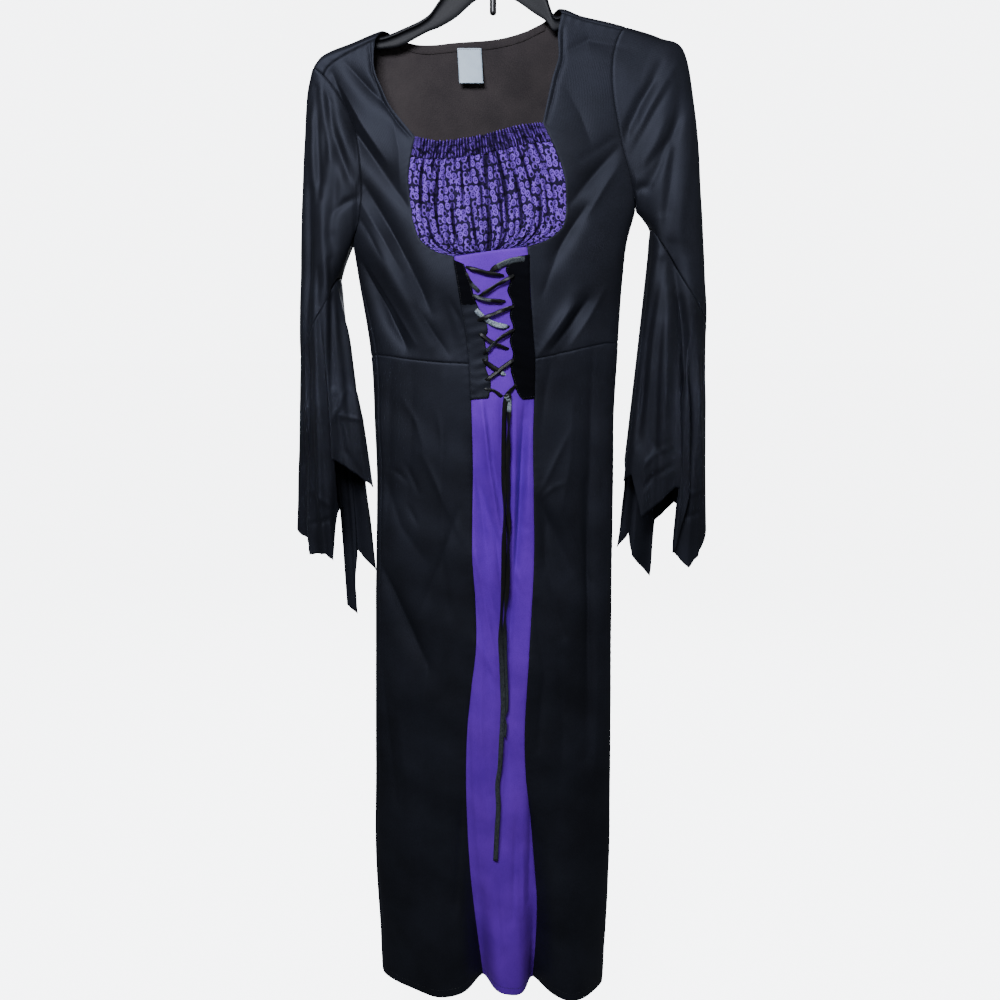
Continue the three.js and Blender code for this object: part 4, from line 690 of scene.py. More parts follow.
# %% Knit
def knit(name, dark, light, sheen, tint, wale=2.0, **settings):
    def colour(tree):
        slow = noise(tree, add(tree, "ShaderNodeTexCoord").outputs["Object"], 14, 4, Roughness=0.62)
        loops = noise(tree, cut_map(tree), 900, 2)
        both = add(tree, "ShaderNodeMath", {0: slow, 1: loops}, operation="ADD").outputs[0]
        ramp = add(tree, "ShaderNodeMapRange", {"Value": both, "From Min": 0.75, "From Max": 1.3}).outputs[0]
        return blend(tree, ramp, dark, light)

    def bump(tree):
        place = cut_map(tree)
        wave = {"Vector": place, "Scale": 1000 / wale / math.pi, "Distortion": 1.5, "Detail": 1, "Detail Scale": 2}
        wales = add(tree, "ShaderNodeTexWave", wave, bands_direction="X").outputs["Fac"]
        fuzz = noise(tree, place, 520, 3)
        height = add(tree, "ShaderNodeMath", {0: wales, 1: 0.4, 2: fuzz}, operation="MULTIPLY_ADD").outputs[0]
        return height, 0.26, 0.0005
    return surface(name, colour, bump, Sheen_Weight=sheen, Sheen_Tint=linear(tint), Sheen_Roughness=0.38, **settings)


BLACK_KNIT = knit("black_polyester_tricot", "#0b0b0e", "#191b22", 0.05, "#a9b6cc",
                  Roughness=0.6, Specular_IOR_Level=0.42, Specular_Tint=linear("#c2c9df"))
PURPLE_KNIT = knit("purple_polyester_tricot", "#541aa2", "#7434c6", 0.05, "#b48cff",
                   Roughness=0.55, Specular_IOR_Level=0.26, Specular_Tint=linear("#cfaef6"))
WRONG_SIDE = knit("black_polyester_tricot_wrong_side", "#211e1f", "#3a3534", 0.03, "#9a8d86",
                  Roughness=0.75, Specular_IOR_Level=0.3, Specular_Tint=linear("#d8d0d4"))
PILE = knit("black_crushed_velour", "#050507", "#0b0c11", 0.1, "#5a6070", wale=3.0,
            Roughness=0.95, Specular_IOR_Level=0.06)
print("knits ready")

# %% [markdown]
# ### The printed insert
# The bust insert is a thin printed poplin. The print is small, dense and two-coloured: light purple
# motifs on a very dark violet. These motifs are generic ones drawn for this part: round pumpkin faces,
# crescent moons and stars. A Voronoi grid with some disorder gives each motif its own cell of 8.8 mm, and
# a chain of plain sums on the cell's own coordinates draws the shape. The depth of each gather darkens it
# with painted shade towards near-black, and the casing has a base of painted shade as well.

# %% Printed cloth
CELL = 8.8


def print_colour(tree):
    place = cut_map(tree)
    grid = {"Vector": place, "Scale": 1000 / CELL, "Randomness": 0.5}
    cell = add(tree, "ShaderNodeTexVoronoi", grid, voronoi_dimensions="2D")
    ends = {0: place, 1: cell.outputs["Position"]}
    local = add(tree, "ShaderNodeVectorMath", ends, operation="SUBTRACT").outputs[0]
    local = add(tree, "ShaderNodeVectorMath", {0: local, "Scale": 1000 / CELL}, operation="SCALE").outputs[0]
    split = add(tree, "ShaderNodeSeparateColor", {0: cell.outputs["Color"]})
    turn = add(tree, "ShaderNodeMath", {0: split.outputs[1], 1: 1.6, 2: -0.8}, operation="MULTIPLY_ADD").outputs[0]
    local = add(tree, "ShaderNodeVectorRotate", {"Vector": local, "Angle": turn}, rotation_type="Z_AXIS").outputs[0]
    axes = add(tree, "ShaderNodeSeparateXYZ", {0: local})
    value = {"x": axes.outputs[0], "y": axes.outputs[1], "kind": split.outputs[0]}
    steps = [
        ("r", "POWER", "x", 2.0), ("yy", "POWER", "y", 2.0), ("r", "ADD", "r", "yy"), ("r", "SQRT", "r", 0.0),
        ("side", "ABSOLUTE", "x", 0.0), ("ex", "SUBTRACT", "side", 0.14), ("ex", "POWER", "ex", 2.0),
        ("ey", "SUBTRACT", "y", 0.09), ("ey", "POWER", "ey", 2.0), ("eye", "ADD", "ex", "ey"),
        ("eye", "GREATER_THAN", "eye", 0.0125), ("grin", "ADD", "y", 0.02), ("grin", "POWER", "grin", 2.0),
        ("grin", "ADD", "grin", "xx"), ("grin", "SQRT", "grin", 0.0), ("grin", "SUBTRACT", "grin", 0.2),
        ("grin", "ABSOLUTE", "grin", 0.0), ("grin", "GREATER_THAN", "grin", 0.04),
        ("above", "GREATER_THAN", "y", -0.07), ("grin", "MAXIMUM", "grin", "above"),
        ("head", "LESS_THAN", "r", 0.48), ("head", "MULTIPLY", "head", "eye"),
        ("head", "MULTIPLY", "head", "grin"), ("mx", "SUBTRACT", "x", 0.15), ("mx", "POWER", "mx", 2.0),
        ("my", "SUBTRACT", "y", 0.06), ("my", "POWER", "my", 2.0), ("bite", "ADD", "mx", "my"),
        ("bite", "GREATER_THAN", "bite", 0.075), ("moon", "LESS_THAN", "r", 0.47),
        ("moon", "MULTIPLY", "moon", "bite"), ("way", "ARCTAN2", "y", "x"), ("way", "MULTIPLY", "way", 5.0),
        ("way", "COSINE", "way", 0.0), ("way", "MULTIPLY", "way", 0.11), ("way", "ADD", "way", 0.36),
        ("star", "LESS_THAN", "r", "way"), ("is_head", "LESS_THAN", "kind", 0.58),
        ("is_star", "GREATER_THAN", "kind", 0.8), ("head", "MULTIPLY", "head", "is_head"),
        ("star", "MULTIPLY", "star", "is_star"), ("other", "ADD", "is_head", "is_star"),
        ("other", "SUBTRACT", 1.0, "other"), ("moon", "MULTIPLY", "moon", "other"),
        ("motif", "ADD", "head", "star"), ("motif", "ADD", "motif", "moon"),
    ]
    value["xx"] = add(tree, "ShaderNodeMath", {0: value["x"], 1: 2.0}, operation="POWER").outputs[0]
    for name, operation, a, b in steps:
        inputs = {0: value.get(a, a), 1: value.get(b, b)}
        value[name] = add(tree, "ShaderNodeMath", inputs, operation=operation).outputs[0]
    cloudy = noise(tree, place, 160, 4)
    ground, ink = blend(tree, cloudy, "#0d091a", "#241d38"), blend(tree, cloudy, "#5e31ae", "#9468e2")
    drawn = blend(tree, value["motif"], ground, ink)
    # Painted shade: the print is mixed towards near-black by how deep in a gather each point lies.
    hollow = add(tree, "ShaderNodeAttribute", attribute_name="hollow").outputs["Fac"]
    return blend(tree, hollow, drawn, "#04030a")


def weave_bump(tree):
    place = cut_map(tree)
    warp = add(tree, "ShaderNodeTexWave", {"Vector": place, "Scale": 160}, bands_direction="X").outputs["Fac"]
    weft = add(tree, "ShaderNodeTexWave", {"Vector": place, "Scale": 160}, bands_direction="Y").outputs["Fac"]
    return add(tree, "ShaderNodeMath", {0: warp, 1: weft}, operation="ADD").outputs[0], 0.15, 0.0004


PRINT = surface("printed_polyester_poplin", print_colour, weave_bump, Roughness=0.62, Sheen_Weight=0.04,
                Sheen_Tint=linear("#b9aef0"), Specular_IOR_Level=0.2, Specular_Tint=linear("#b8a6f0"))

# %% [markdown]
# ### Ribbon, tape and plastic
# The lace is satin ribbon: long floats of thread run lengthwise, so it is smooth, dark and throws narrow
# silvery highlights where it bends. The label is satin tape. The hanger and its hook are moulded
# polypropylene, which has a fine orange-peel skin and a soft gloss.

# %% Trim and plastic
def mottled(dark, light, scale):
    def colour(tree):
        place = add(tree, "ShaderNodeTexCoord").outputs["Object"]
        return blend(tree, noise(tree, place, scale, 5, Roughness=0.6), dark, light)
    return colour


def grained(scale, strength, depth, bands=None):
    def bump(tree):
        if bands:
            wave = {"Vector": cut_map(tree), "Scale": scale, "Distortion": 1.2}
            return add(tree, "ShaderNodeTexWave", wave, bands_direction=bands).outputs["Fac"], strength, depth
        return noise(tree, add(tree, "ShaderNodeTexCoord").outputs["Object"], scale, 3), strength, depth
    return bump


def satin_colour(tree):
    dark = mottled("#080808", "#141413", 180)(tree)
    speck = noise(tree, add(tree, "ShaderNodeTexCoord").outputs["Object"], 900, 2)
    speck = add(tree, "ShaderNodeMapRange", {"Value": speck, "From Min": 0.38, "From Max": 0.62}).outputs[0]
    # Mixed towards pale silver: a full mark is the ribbon's pale back face, a faint one is painted sheen.
    reverse = add(tree, "ShaderNodeAttribute", attribute_name="reverse").outputs["Fac"]
    return blend(tree, reverse, dark, blend(tree, speck, "#4b545b", "#a9b7c0"))


SATIN = surface("black_polyester_satin_ribbon", satin_colour, grained(330, 0.2, 0.0003, "X"),
                Roughness=0.42, Specular_IOR_Level=0.32, Anisotropic=0.4,
                Sheen_Weight=0.03, Sheen_Tint=linear("#c9d3dc"))
TAPE = surface("white_satin_label_tape", mottled("#a2b5c5", "#c3d4e0", 120), grained(420, 0.25, 0.0002, "Y"),
               Roughness=0.45, Specular_IOR_Level=0.5)
HANGER = surface("moulded_polypropylene_charcoal", mottled("#0d0e11", "#17181c", 60), grained(900, 0.12, 0.0003),
                 Roughness=0.46, Specular_IOR_Level=0.16)
HOOK = surface("moulded_polypropylene_black", mottled("#09090a", "#121214", 90), grained(1100, 0.1, 0.0002),
               Roughness=0.3, Specular_IOR_Level=0.5)
THREAD = surface("black_polyester_thread", mottled("#0c0d10", "#23272d", 400), grained(2400, 0.3, 0.0002),
                 Roughness=0.5, Specular_IOR_Level=0.5)

# %% [markdown]
# ## The bodice
# Two front halves and one back panel, which rolls over the shoulders. The front halves run from the
# shoulder seam past the square neck and the bust insert to a slanted waist. Their grids are the same few
# rows and columns as on a paper pattern, made finer until the creases have enough points to bend.

# %% Front bodice
def sewn(name, coords, times, corners, seams, wall=CLOTH, lift=0.0, doubling=None, **looks):
    fine = finer(coords, times[0], corners[0])
    fine = np.moveaxis(finer(np.moveaxis(fine, 1, 0), times[1], corners[1]), 0, 1)
    fine = doubled(fine, seams if doubling is None else doubling)
    points, normals = cloth(fine[..., 0], fine[..., 1], lift)
    return shell(name, seamed(points, normals, seams, **looks), normals, wall)


FRONT_CORNERS = ([5, 9, 12], [])
for side, half in (("r", RIGHT), ("l", LEFT)):
    coords = patch(half["top"], half["bottom"], half["inner"], half["outer"])
    piece = sewn("bodice_front_" + side, coords, (11, 11), FRONT_CORNERS, "tblr")
    dress_piece(piece, ["front_bodice_" + side], BLACK_KNIT)

# %% [markdown]
# The back panel's top edge follows both shoulder seams and the neckline between them. Its first rows lie
# close together where the cloth rolls over the ridge, and below them the neck's curve soon dies out.

# %% Back bodice
def back_edges():
    sides = {}
    for side, half, sign in (("r", RIGHT, -1), ("l", LEFT, 1)):
        sleeve = SLEEVES[side]
        armhole = armhole_at(sleeve, armhole_turns(sleeve)[1][::-1], "back")
        seam = half["outer"][ARMHOLE_ROWS + 1:]
        sides[side] = np.concatenate([armhole, np.stack([sign * 2 - seam[:, 0], -seam[:, 1]], axis=1)])
    neck = np.array(BACK_NECK, float)
    line = [(SHOULDER_SEAM_R[0][0], RIGHT["top"][0][1]), (NECK_OVER_RIDGE["right"], 0),
            *np.stack([neck[:, 0], run_of(ridge_at(neck[:, 0]) - neck[:, 1])], axis=1),
            (NECK_OVER_RIDGE["left"], 0), (SHOULDER_SEAM_L[0][0], LEFT["top"][0][1])]
    neck_line = along(line, 12)
    neck_line[:, 0] = across_at(neck_line[:, 0], neck_line[:, 1])
    neck_line[0] = RIGHT["top"][0]
    top = np.concatenate([RIGHT["top"][:0:-1], neck_line[:-1], LEFT["top"]])
    return top, between(sides["r"][-1], sides["l"][-1], len(top) - 1), sides["r"], sides["l"]


def back_coords():
    top, bottom, left, right = back_edges()
    behind = 14
    yoke = np.stack([top[:, 0], np.maximum(behind, top[:, 1] + 6)], axis=1)
    rows = []
    for r, share in enumerate([1, 0.5, 0, -0.45]):
        over = top[:, 1] * share if share >= 0 else np.full(len(top), behind * -share)
        down = np.where(top[:, 1] < 0, over, mix(top[:, 1], yoke[:, 1], r / 4))
        row = np.stack([top[:, 0], down], axis=1)
        row[0], row[-1] = left[r], right[r]
        rows.append(row)
    yoke[0], yoke[-1] = left[4], right[4]
    return np.concatenate([rows, patch(yoke, bottom, left[4:], right[4:], 5)]), bottom


BACK_COORDS, BACK_WAIST = back_coords()
piece = sewn("bodice_back", BACK_COORDS, (7, 6), ([4, 11], [8, 20]), "tblr")
dress_piece(piece, ["back_bodice"], BLACK_KNIT, inside=WRONG_SIDE)

# %% [markdown]
# ## The skirt
# Two black front panels, the long purple centre panel and one back panel. They hang almost straight
# down, a little fuller towards the hem, where a few deep flutes open. The hem is turned up once and
# stitched, which makes the real hem a little thicker and stiffer; here only its row of stitches is drawn.

# %% Skirt panels
SKIRT_SIDE_R = between(RIGHT["bottom"][-1], [-0.88, hem_under(np.array(-0.88))], SKIRT_ROWS)
SKIRT_SIDE_L = between(LEFT["bottom"][-1], [1, hem_under(np.array(1.0))], SKIRT_ROWS)


def front_skirt(half, inner, side):
    left = spread(along(inner, SKIRT_ROWS))
    across = mix(left[-1][0], side[-1][0], np.linspace(0, 1, SHOULDER_COLS + 1) ** 1.15)
    bottom = np.stack([across, hem_under(across)], axis=1)
    bottom[0], bottom[-1] = left[-1], side[-1]
    return patch(half["bottom"], bottom, left, side)


def back_skirt():
    left, right = (np.stack([sign * 2 - line[:, 0], -line[:, 1]], axis=1)
                   for line, sign in ((SKIRT_SIDE_R, -1), (SKIRT_SIDE_L, 1)))
    across = np.linspace(left[-1][0], right[-1][0], len(BACK_WAIST))
    down = np.where(across < -1, -hem_under(np.clip(-2 - across, -1, 1)), hem_under(np.clip(across, -1, 1), "back"))
    bottom = np.stack([across, down], axis=1)
    bottom[0], bottom[-1] = left[-1], right[-1]
    return patch(BACK_WAIST, bottom, left, right)


FRONT_SKIRTS = {"r": (RIGHT, CENTRE_SKIRT_R, SKIRT_SIDE_R), "l": (LEFT, CENTRE_SKIRT_L, SKIRT_SIDE_L)}
for side, edges in FRONT_SKIRTS.items():
    piece = sewn("skirt_front_" + side, front_skirt(*edges), (20, 7), ([], []), "tlr", doubling="tblr")
    dress_piece(piece, ["front_skirt_" + side], BLACK_KNIT)
piece = sewn("skirt_back", back_skirt(), (14, 4), ([], []), "tlr", doubling="tblr")
dress_piece(piece, ["back_skirt"], BLACK_KNIT)

# %% [markdown]
# The purple panel is one piece from under the bust to the hem. It is drawn together by the lace at the
# waist and hangs free below.

# %% Centre panel
def centre_coords():
    start = NECK_ROWS + INSERT_ROWS
    left, right = (np.concatenate([half["inner"][start:], spread(along(line, SKIRT_ROWS)[1:])])
                   for half, line in ((RIGHT, CENTRE_SKIRT_R), (LEFT, CENTRE_SKIRT_L)))
    across = np.linspace(left[-1][0], right[-1][0], 9)
    bottom = np.stack([across, hem_under(across)], axis=1)
    bottom[0], bottom[-1] = left[-1], right[-1]
    return patch(between(left[0], right[0], 8), bottom, left, right)


piece = sewn("centre_panel_purple", centre_coords(), (15, 6), ([4], []), "tlr", doubling="tblr")
dress_piece(piece, ["centre_panel"], PURPLE_KNIT)

# %% [markdown]
# ## The gathered insert and its casing
# A wide strip of print is gathered onto the narrower bust opening, with an elastic run through a casing
# at its top, so its small upright folds are deep and uneven at the casing and fade out downwards. The
# casing stands up in a small frill, and its folds are finer.

# %% Insert and casing
def insert_coords():
    sides = [half["inner"][NECK_ROWS:NECK_ROWS + INSERT_ROWS + 1] for half in (RIGHT, LEFT)]
    top = spread(along(INSERT_TOP, 48))
    top[0], top[-1] = sides[0][0], sides[1][0]
    return patch(top, between(sides[0][-1], sides[1][-1], 48), *sides)


GATHERS = table("top foot width depth", [
    (0.05, -0.03, 2.6, 2.2), (0.11, 0.02, 2.4, 2.8), (0.17, 0.07, 2.0, 2.4), (0.22, 0.13, 2.6, 3.0),
    (0.27, 0.17, 1.8, 1.8), (0.31, 0.24, 2.4, 2.6), (0.37, 0.33, 2.0, 2.0), (0.42, 0.37, 2.6, 2.4),
    (0.475, 0.44, 2.0, 1.8), (0.53, 0.47, 3.2, 3.4), (0.575, 0.56, 2.2, 2.2), (0.61, 0.60, 3.0, 3.4),
    (0.665, 0.66, 1.8, 1.8), (0.70, 0.70, 2.4, 2.8), (0.755, 0.78, 2.0, 2.2), (0.80, 0.84, 2.4, 2.6),
    (0.845, 0.89, 1.8, 1.6), (0.885, 0.94, 2.2, 2.2), (0.93, 1.0, 2.0, 1.6),
])


def gathered(points, normals, waves, depth, fade, hollows, shade, seed):
    """Raises small folds and sinks the deep ones. Also gives the painted shade of each point, darker the deeper it lies
    in a fold, over a base set by shade.
    """
    rows, cols = points.shape[:2]
    s, t = np.linspace(0, 1, cols)[None], np.linspace(0, 1, rows)[:, None]
    phase = (waves * 2 * math.pi * s + 1.3 * np.sin(2 * math.pi * 5 * s + seed)
             + 0.6 * np.sin(2 * math.pi * 3 * s + 5 * t))
    size = 0.75 + 0.35 * np.sin(2 * math.pi * 7 * s + seed * 2 + 2 * t)
    side = np.minimum(1, 12 * np.minimum(s, 1 - s))
    lift = depth * np.cos(phase) * size * fade(t)
    over = runs(points, 1)
    wide = over[:, -1:]
    for top, foot, width, deep in zip(*GATHERS.values()):
        bend = 0.006 * np.sin(6 * t + top * 40)
        away = (s - mix(top, foot, t) - bend) * wide / width
        lift -= hollows * deep * np.exp(-away ** 2) * (0.72 + 0.28 * np.sin(9 * t + top * 50))
    lift *= side
    # Painted shade, not a colour of the print: shade sets a base, and deeper in a fold is darker.
    hollow = np.clip(shade - lift / 1.7, 0, 0.94)
    return points + normals * lift[..., None], hollow


INSERT_COORDS = insert_coords()


def insert_piece(name, coords, times, waves, depth, fade, seams, wall, hollows, shade, full, seed):
    fine = finer(coords, times[0])
    fine = doubled(np.moveaxis(finer(np.moveaxis(fine, 1, 0), times[1]), 0, 1), seams)
    points, normals = cloth(fine[..., 0], fine[..., 1])
    points = seamed(points, normals, seams, pucker=0.2)
    points, hollow = gathered(points, normals, waves, depth, fade, hollows, shade, seed)
    made = shell(name, points, normals, wall, marks={"hollow": hollow})
    uvs = np.zeros(len(made.data.loops) * 2)
    made.data.uv_layers["cut"].data.foreach_get("uv", uvs)
    uvs[::2] *= full
    made.data.uv_layers["cut"].data.foreach_set("uv", uvs)
    return made


piece = insert_piece("bust_insert_print", INSERT_COORDS[1:], (8, 9), 27, 0.9,
                     lambda t: 1.1 * np.exp(-t * 4) + 0.35 + 0.5 * t ** 4,
                     "tblr", CLOTH, 1.0, -0.14, 1.3, 0.4)
dress_piece(piece, ["bust_insert"], PRINT,
            FULLNESS["insert"])
# The casing gets a stronger base of painted shade than the insert.
piece = insert_piece("insert_casing_print", INSERT_COORDS[:2], (14, 10), 44, 1.2,
                     lambda t: 0.9 + 0.8 * np.exp(-((t / 0.2) ** 2)) - 0.5 * np.exp(-(((t - 0.3) / 0.07) ** 2)),
                     "blr", CLOTH * 1.4, 0.7, 0.5, 2.2, 1.9)
dress_piece(piece, ["insert_casing"], PRINT, FULLNESS["casing"])

# %% [markdown]
# ## The sleeves and their flounces
# Each sleeve is a flattened tube from the armhole to a slanted seam at the elbow. Its loops are swept by
# a table, the first one lies exactly on the armhole, and its creases are listed one by one as the bodice's
# are. The flounce flares below it to a torn handkerchief edge: long raw points that were cut, not hemmed.

# %% Sleeve tables
SLEEVE_FOLDS = {
    "front": table("x1 z1 x2 z2 x3 z3 width depth", [
        (150, -296, 173, -252, 199, -200, 6, -3.0), (158, -312, 186, -255, 220, -198, 5, 2.2),
        (188, -342, 204, -304, 222, -250, 6, -3.0), (172, -336, 190, -300, 206, -262, 6, 1.6),
        (205, -412, 214, -330, 224, -225, 6, -2.8), (226, -400, 232, -330, 236, -250, 7, 2.0),
        (205, -380, 199, -500, 172, -760, 8, 4.0), (217, -410, 233, -520, 250, -800, 9, -5.0),
        (192, -400, 183, -540, 168, -700, 7, -3.6), (240, -430, 252, -560, 262, -800, 8, 3.4),
        (-224, -345, -230, -500, -238, -790, 7, -3.6), (-208, -345, -202, -480, -206, -740, 7, 3.6),
        (-196, -400, -186, -520, -176, -700, 7, -3.4), (-214, -470, -218, -600, -222, -800, 7, 3.0),
        (-196, -236, -202, -290, -212, -350, 7, -2.6), (-206, -214, -216, -262, -222, -330, 6, 2.0),
        (-188, -300, -192, -356, -204, -420, 6, -2.0), (-190, -420, -205, -460, -226, -520, 7, 1.6),
        (-193, -282, -178, -316, -166, -347, 9, -3.6), (-192, -370, -179, -360, -164, -353, 4, -2.4),
        (-199, -427, -199, -499, -199, -579, 4, -4.4), (-214, -439, -214, -511, -215, -597, 4, -2.4),
        (-222, -276, -226, -415, -242, -597, 5, -2.6), (-198, -597, -188, -660, -167, -699, 5, -2.6),
        (-206, -600, -205, -660, -204, -720, 5, 2.2), (-184, -440, -178, -560, -168, -660, 5, 2.4),
        (-186, -560, -176, -580, -166, -590, 3, -1.2), (-224, -600, -224, -680, -226, -760, 4, -2.8),
        (161, -307, 187, -261, 210, -222, 5, -2.4), (177, -324, 212, -287, 229, -253, 5, -2.2),
        (154, -287, 175, -242, 192, -220, 4, -1.8), (172, -345, 181, -341, 189, -340, 4, -2.0),
        (219, -433, 236, -511, 244, -690, 5, -2.2), (206, -429, 192, -523, 185, -648, 5, -4.2),
        (215, -463, 213, -573, 211, -686, 6, 3.6), (230, -560, 236, -640, 240, -720, 5, 2.4),
        (229, -475, 247, -619, 257, -695, 5, -3.4), (213, -507, 213, -573, 213, -643, 9, 3.6),
        (189, -558, 185, -609, 181, -650, 4, -3.4), (182, -492, 171, -609, 164, -678, 4, 2.6),
        (254, -558, 263, -678, 269, -742, 4, 2.4), (187, -685, 204, -664, 224, -653, 3, 1.8),
        (188, -713, 204, -692, 228, -678, 3, -2.0), (236, -719, 250, -716, 266, -713, 3, 1.6),
        (241, -748, 255, -745, 268, -741, 3, -1.6), (198, -648, 211, -663, 221, -686, 3, -1.4),
        (-201, -475, -203, -580, -203, -674, 3.5, -3.6), (-234, -616, -238, -674, -239, -745, 4, -3.4),
        (-215, -492, -219, -610, -223, -726, 8, 2.8), (-184, -510, -187, -563, -191, -616, 7, 2.8),
        (-184, -584, -193, -604, -202, -623, 3, 1.6), (-191, -616, -178, -620, -165, -623, 2.5, 1.6),
        (-233, -708, -219, -721, -205, -734, 3, 1.6), (-233, -756, -219, -752, -205, -748, 3, -1.6),
        (-173, -475, -171, -518, -169, -563, 4, 2.0),
        (-212, -226, -212, -292, -211, -354, 4, -3.0), (-199, -226, -190, -281, -174, -330, 6, -3.2),
        (-204, -222, -201, -263, -196, -309, 4, 2.0),
    ]),
    "back": table("x1 z1 x2 z2 x3 z3 width depth", [
        (180, -300, 196, -250, 214, -200, 8, -3.0), (196, -380, 208, -320, 222, -250, 8, 2.4),
        (196, -420, 190, -560, 176, -780, 9, -4.4), (228, -420, 240, -560, 250, -780, 9, 4.0),
        (-190, -300, -200, -360, -214, -430, 8, -2.8), (-212, -240, -220, -300, -228, -380, 8, 2.2),
        (-202, -430, -194, -580, -180, -860, 9, 4.0), (-226, -450, -232, -600, -236, -780, 9, -4.0),
    ]),
}
HEM_COLUMNS = "turn x y z"
FLOUNCE_HEMS = {
    "r": table(HEM_COLUMNS, [
        (0, -257, 0, -766), (0.06, -244, -12, -777), (0.12, -237, -22, -796), (0.18, -216, -27, -794),
        (0.23, -206, -25, -804), (0.28, -199, -18, -742), (0.32, -203, -24, -672), (0.39, -178, -25, -688),
        (0.45, -152, -19, -709), (0.5, -172, -2, -672), (0.57, -156, 16, -826), (0.63, -184, 20, -799),
        (0.69, -184, 22, -889), (0.735, -198, 23, -876), (0.79, -200, 24, -742), (0.86, -226, 22, -768),
        (0.93, -247, 12, -752)]),
    "l": table(HEM_COLUMNS, [
        (0, 278, 0, -768), (0.06, 264, -14, -800), (0.11, 251, -20, -814), (0.16, 232, -24, -793),
        (0.21, 250, -26, -712), (0.27, 230, -27, -708), (0.33, 206, -26, -732), (0.38, 189, -22, -747),
        (0.42, 177, -15, -692), (0.46, 165, -8, -702), (0.51, 172, 2, -668), (0.57, 163, 12, -794),
        (0.62, 178, 17, -776), (0.66, 183, 20, -807), (0.71, 210, 23, -837), (0.76, 214, 24, -760),
        (0.83, 238, 22, -736), (0.92, 264, 12, -752)]),
}

# %% Sleeve loops
def sleeve_point(sleeve, row, turn):
    x, z = np.moveaxis(sleeve_xz(sleeve, row, turn), -1, 0)
    swing = np.broadcast_to(np.sin(turn * 2 * math.pi), x.shape)
    stand = np.where(swing > 0, row["front"], row["back"])
    return np.stack([x, -np.sign(swing) * stand * np.abs(swing) ** 0.75, z], axis=-1)


def sleeve_rings(sleeve, place, turn):
    """Points of the sleeve, rows by turns. place goes from 0 at the armhole to 5 at the elbow seam."""
    place = place[:, None]
    points = sleeve_point(sleeve, sleeve_row(sleeve, place), turn[None])
    seam = cloth(*np.moveaxis(armhole_at(sleeve, turn), -1, 0))[0]
    start = sleeve_point(sleeve, sleeve_row(sleeve, np.zeros((1, 1))), turn[None])[0]
    return points + (seam - start)[None] * (np.clip(1 - place, 0, 1) ** 1.3)[..., None]


def ring_normals(points):
    over = np.roll(points, -1, axis=1) - np.roll(points, 1, axis=1)
    normals = unit(np.cross(over, np.gradient(points, axis=0)))
    out = (normals * (points - points.mean(axis=1, keepdims=True))).sum(axis=-1, keepdims=True)
    return np.where(out.mean() < 0, -1, 1) * normals


def sleeve_creased(points, normals):
    x, y, z = np.moveaxis(points, -1, 0)
    folds = np.where(y < 0, fold_lift(SLEEVE_FOLDS["front"], x, z), fold_lift(SLEEVE_FOLDS["back"], x, z))
    return (folds + stir(x, z, y)) * np.minimum(np.abs(y) / 9, 1)


# %% Upper sleeves and flounces
def sleeve_pair(side):
    sleeve, hem = SLEEVES[side], FLOUNCE_HEMS[side]
    front, back = armhole_turns(sleeve)
    coarse = np.concatenate([front, back[1:]])
    turn = finer(coarse, 7, [ARMHOLE_ROWS, len(coarse) - 4])[:-1]
    place = np.concatenate([[0, 0.012, 0.03], np.linspace(0.05, 4.96, 104), [4.985, 5]])
    points = sleeve_rings(sleeve, place, turn)
    normals = ring_normals(points)
    shared = cloth(*np.moveaxis(armhole_at(sleeve, turn), -1, 0))[1]
    own = np.clip((0.13 - np.abs(turn - 0.5)) / 0.08, 0, 1)[:, None]
    start = unit(mix(shared, normals[3], own))
    ease = np.clip(1 - place / 0.4, 0, 1)[:, None, None]
    normals = unit(mix(normals, start[None], ease))
    lift = sleeve_creased(points, normals) * np.clip(place / 0.5, 0, 1)[:, None]
    upper = seamed(points + normals * lift[..., None], normals, "tb")
    upper = upper - normals * (0.6 * own * np.exp(-place[:, None, None] * 3))
    sleeve_piece = shell("sleeve_upper_" + side, upper, normals, CLOTH, ring=True)

    corners = np.where(hem["turn"] < sleeve["seam_turn"], hem["turn"] + 1, hem["turn"])
    turn = np.unique(np.concatenate([turn, corners]).round(6))
    turn = turn[np.concatenate([[True], np.diff(turn) > 0.0012])]
    around = {name: np.concatenate([hem[name], hem[name][:3]]) for name in hem}
    around["turn"][-3:] += 1
    t = np.concatenate([[0, 0.003, 0.007], np.linspace(0.012, 1, 92)])[:, None]
    top = sleeve_rings(sleeve, np.array([4.98, 5.0]), turn)
    torn = 0.5 * np.sin(turn * 173 + 1) + 0.25 * np.sin(turn * 410)
    end = np.stack([np.interp(turn, around["turn"], around[name]) for name in "xyz"], axis=-1)
    end[:, 2] += torn
    points = mix(top[-1][None], end[None], t[..., None])
    points[..., 1] = mix(top[-1][None, :, 1], end[None, :, 1], t ** 1.3) * (1 + 0.12 * np.sin(math.pi * t))
    normals = ring_normals(points)
    lift = (sleeve_creased(points, normals) + 1.4 * t * np.sin(turn[None] * 61 + 2 * t)
            + 1.0 * t * np.sin(turn[None] * 97 + 3))
    flounce = seamed(points + normals * lift[..., None], normals, "t")
    return sleeve_piece, shell("sleeve_flounce_" + side + "_cloth", flounce, normals, CLOTH * 0.8, ring=True)


for side in "rl":
    upper, flounce = sleeve_pair(side)
    dress_piece(upper, ["upper_sleeve_" + side], BLACK_KNIT)
    dress_piece(flounce, ["sleeve_flounce_" + side], BLACK_KNIT)
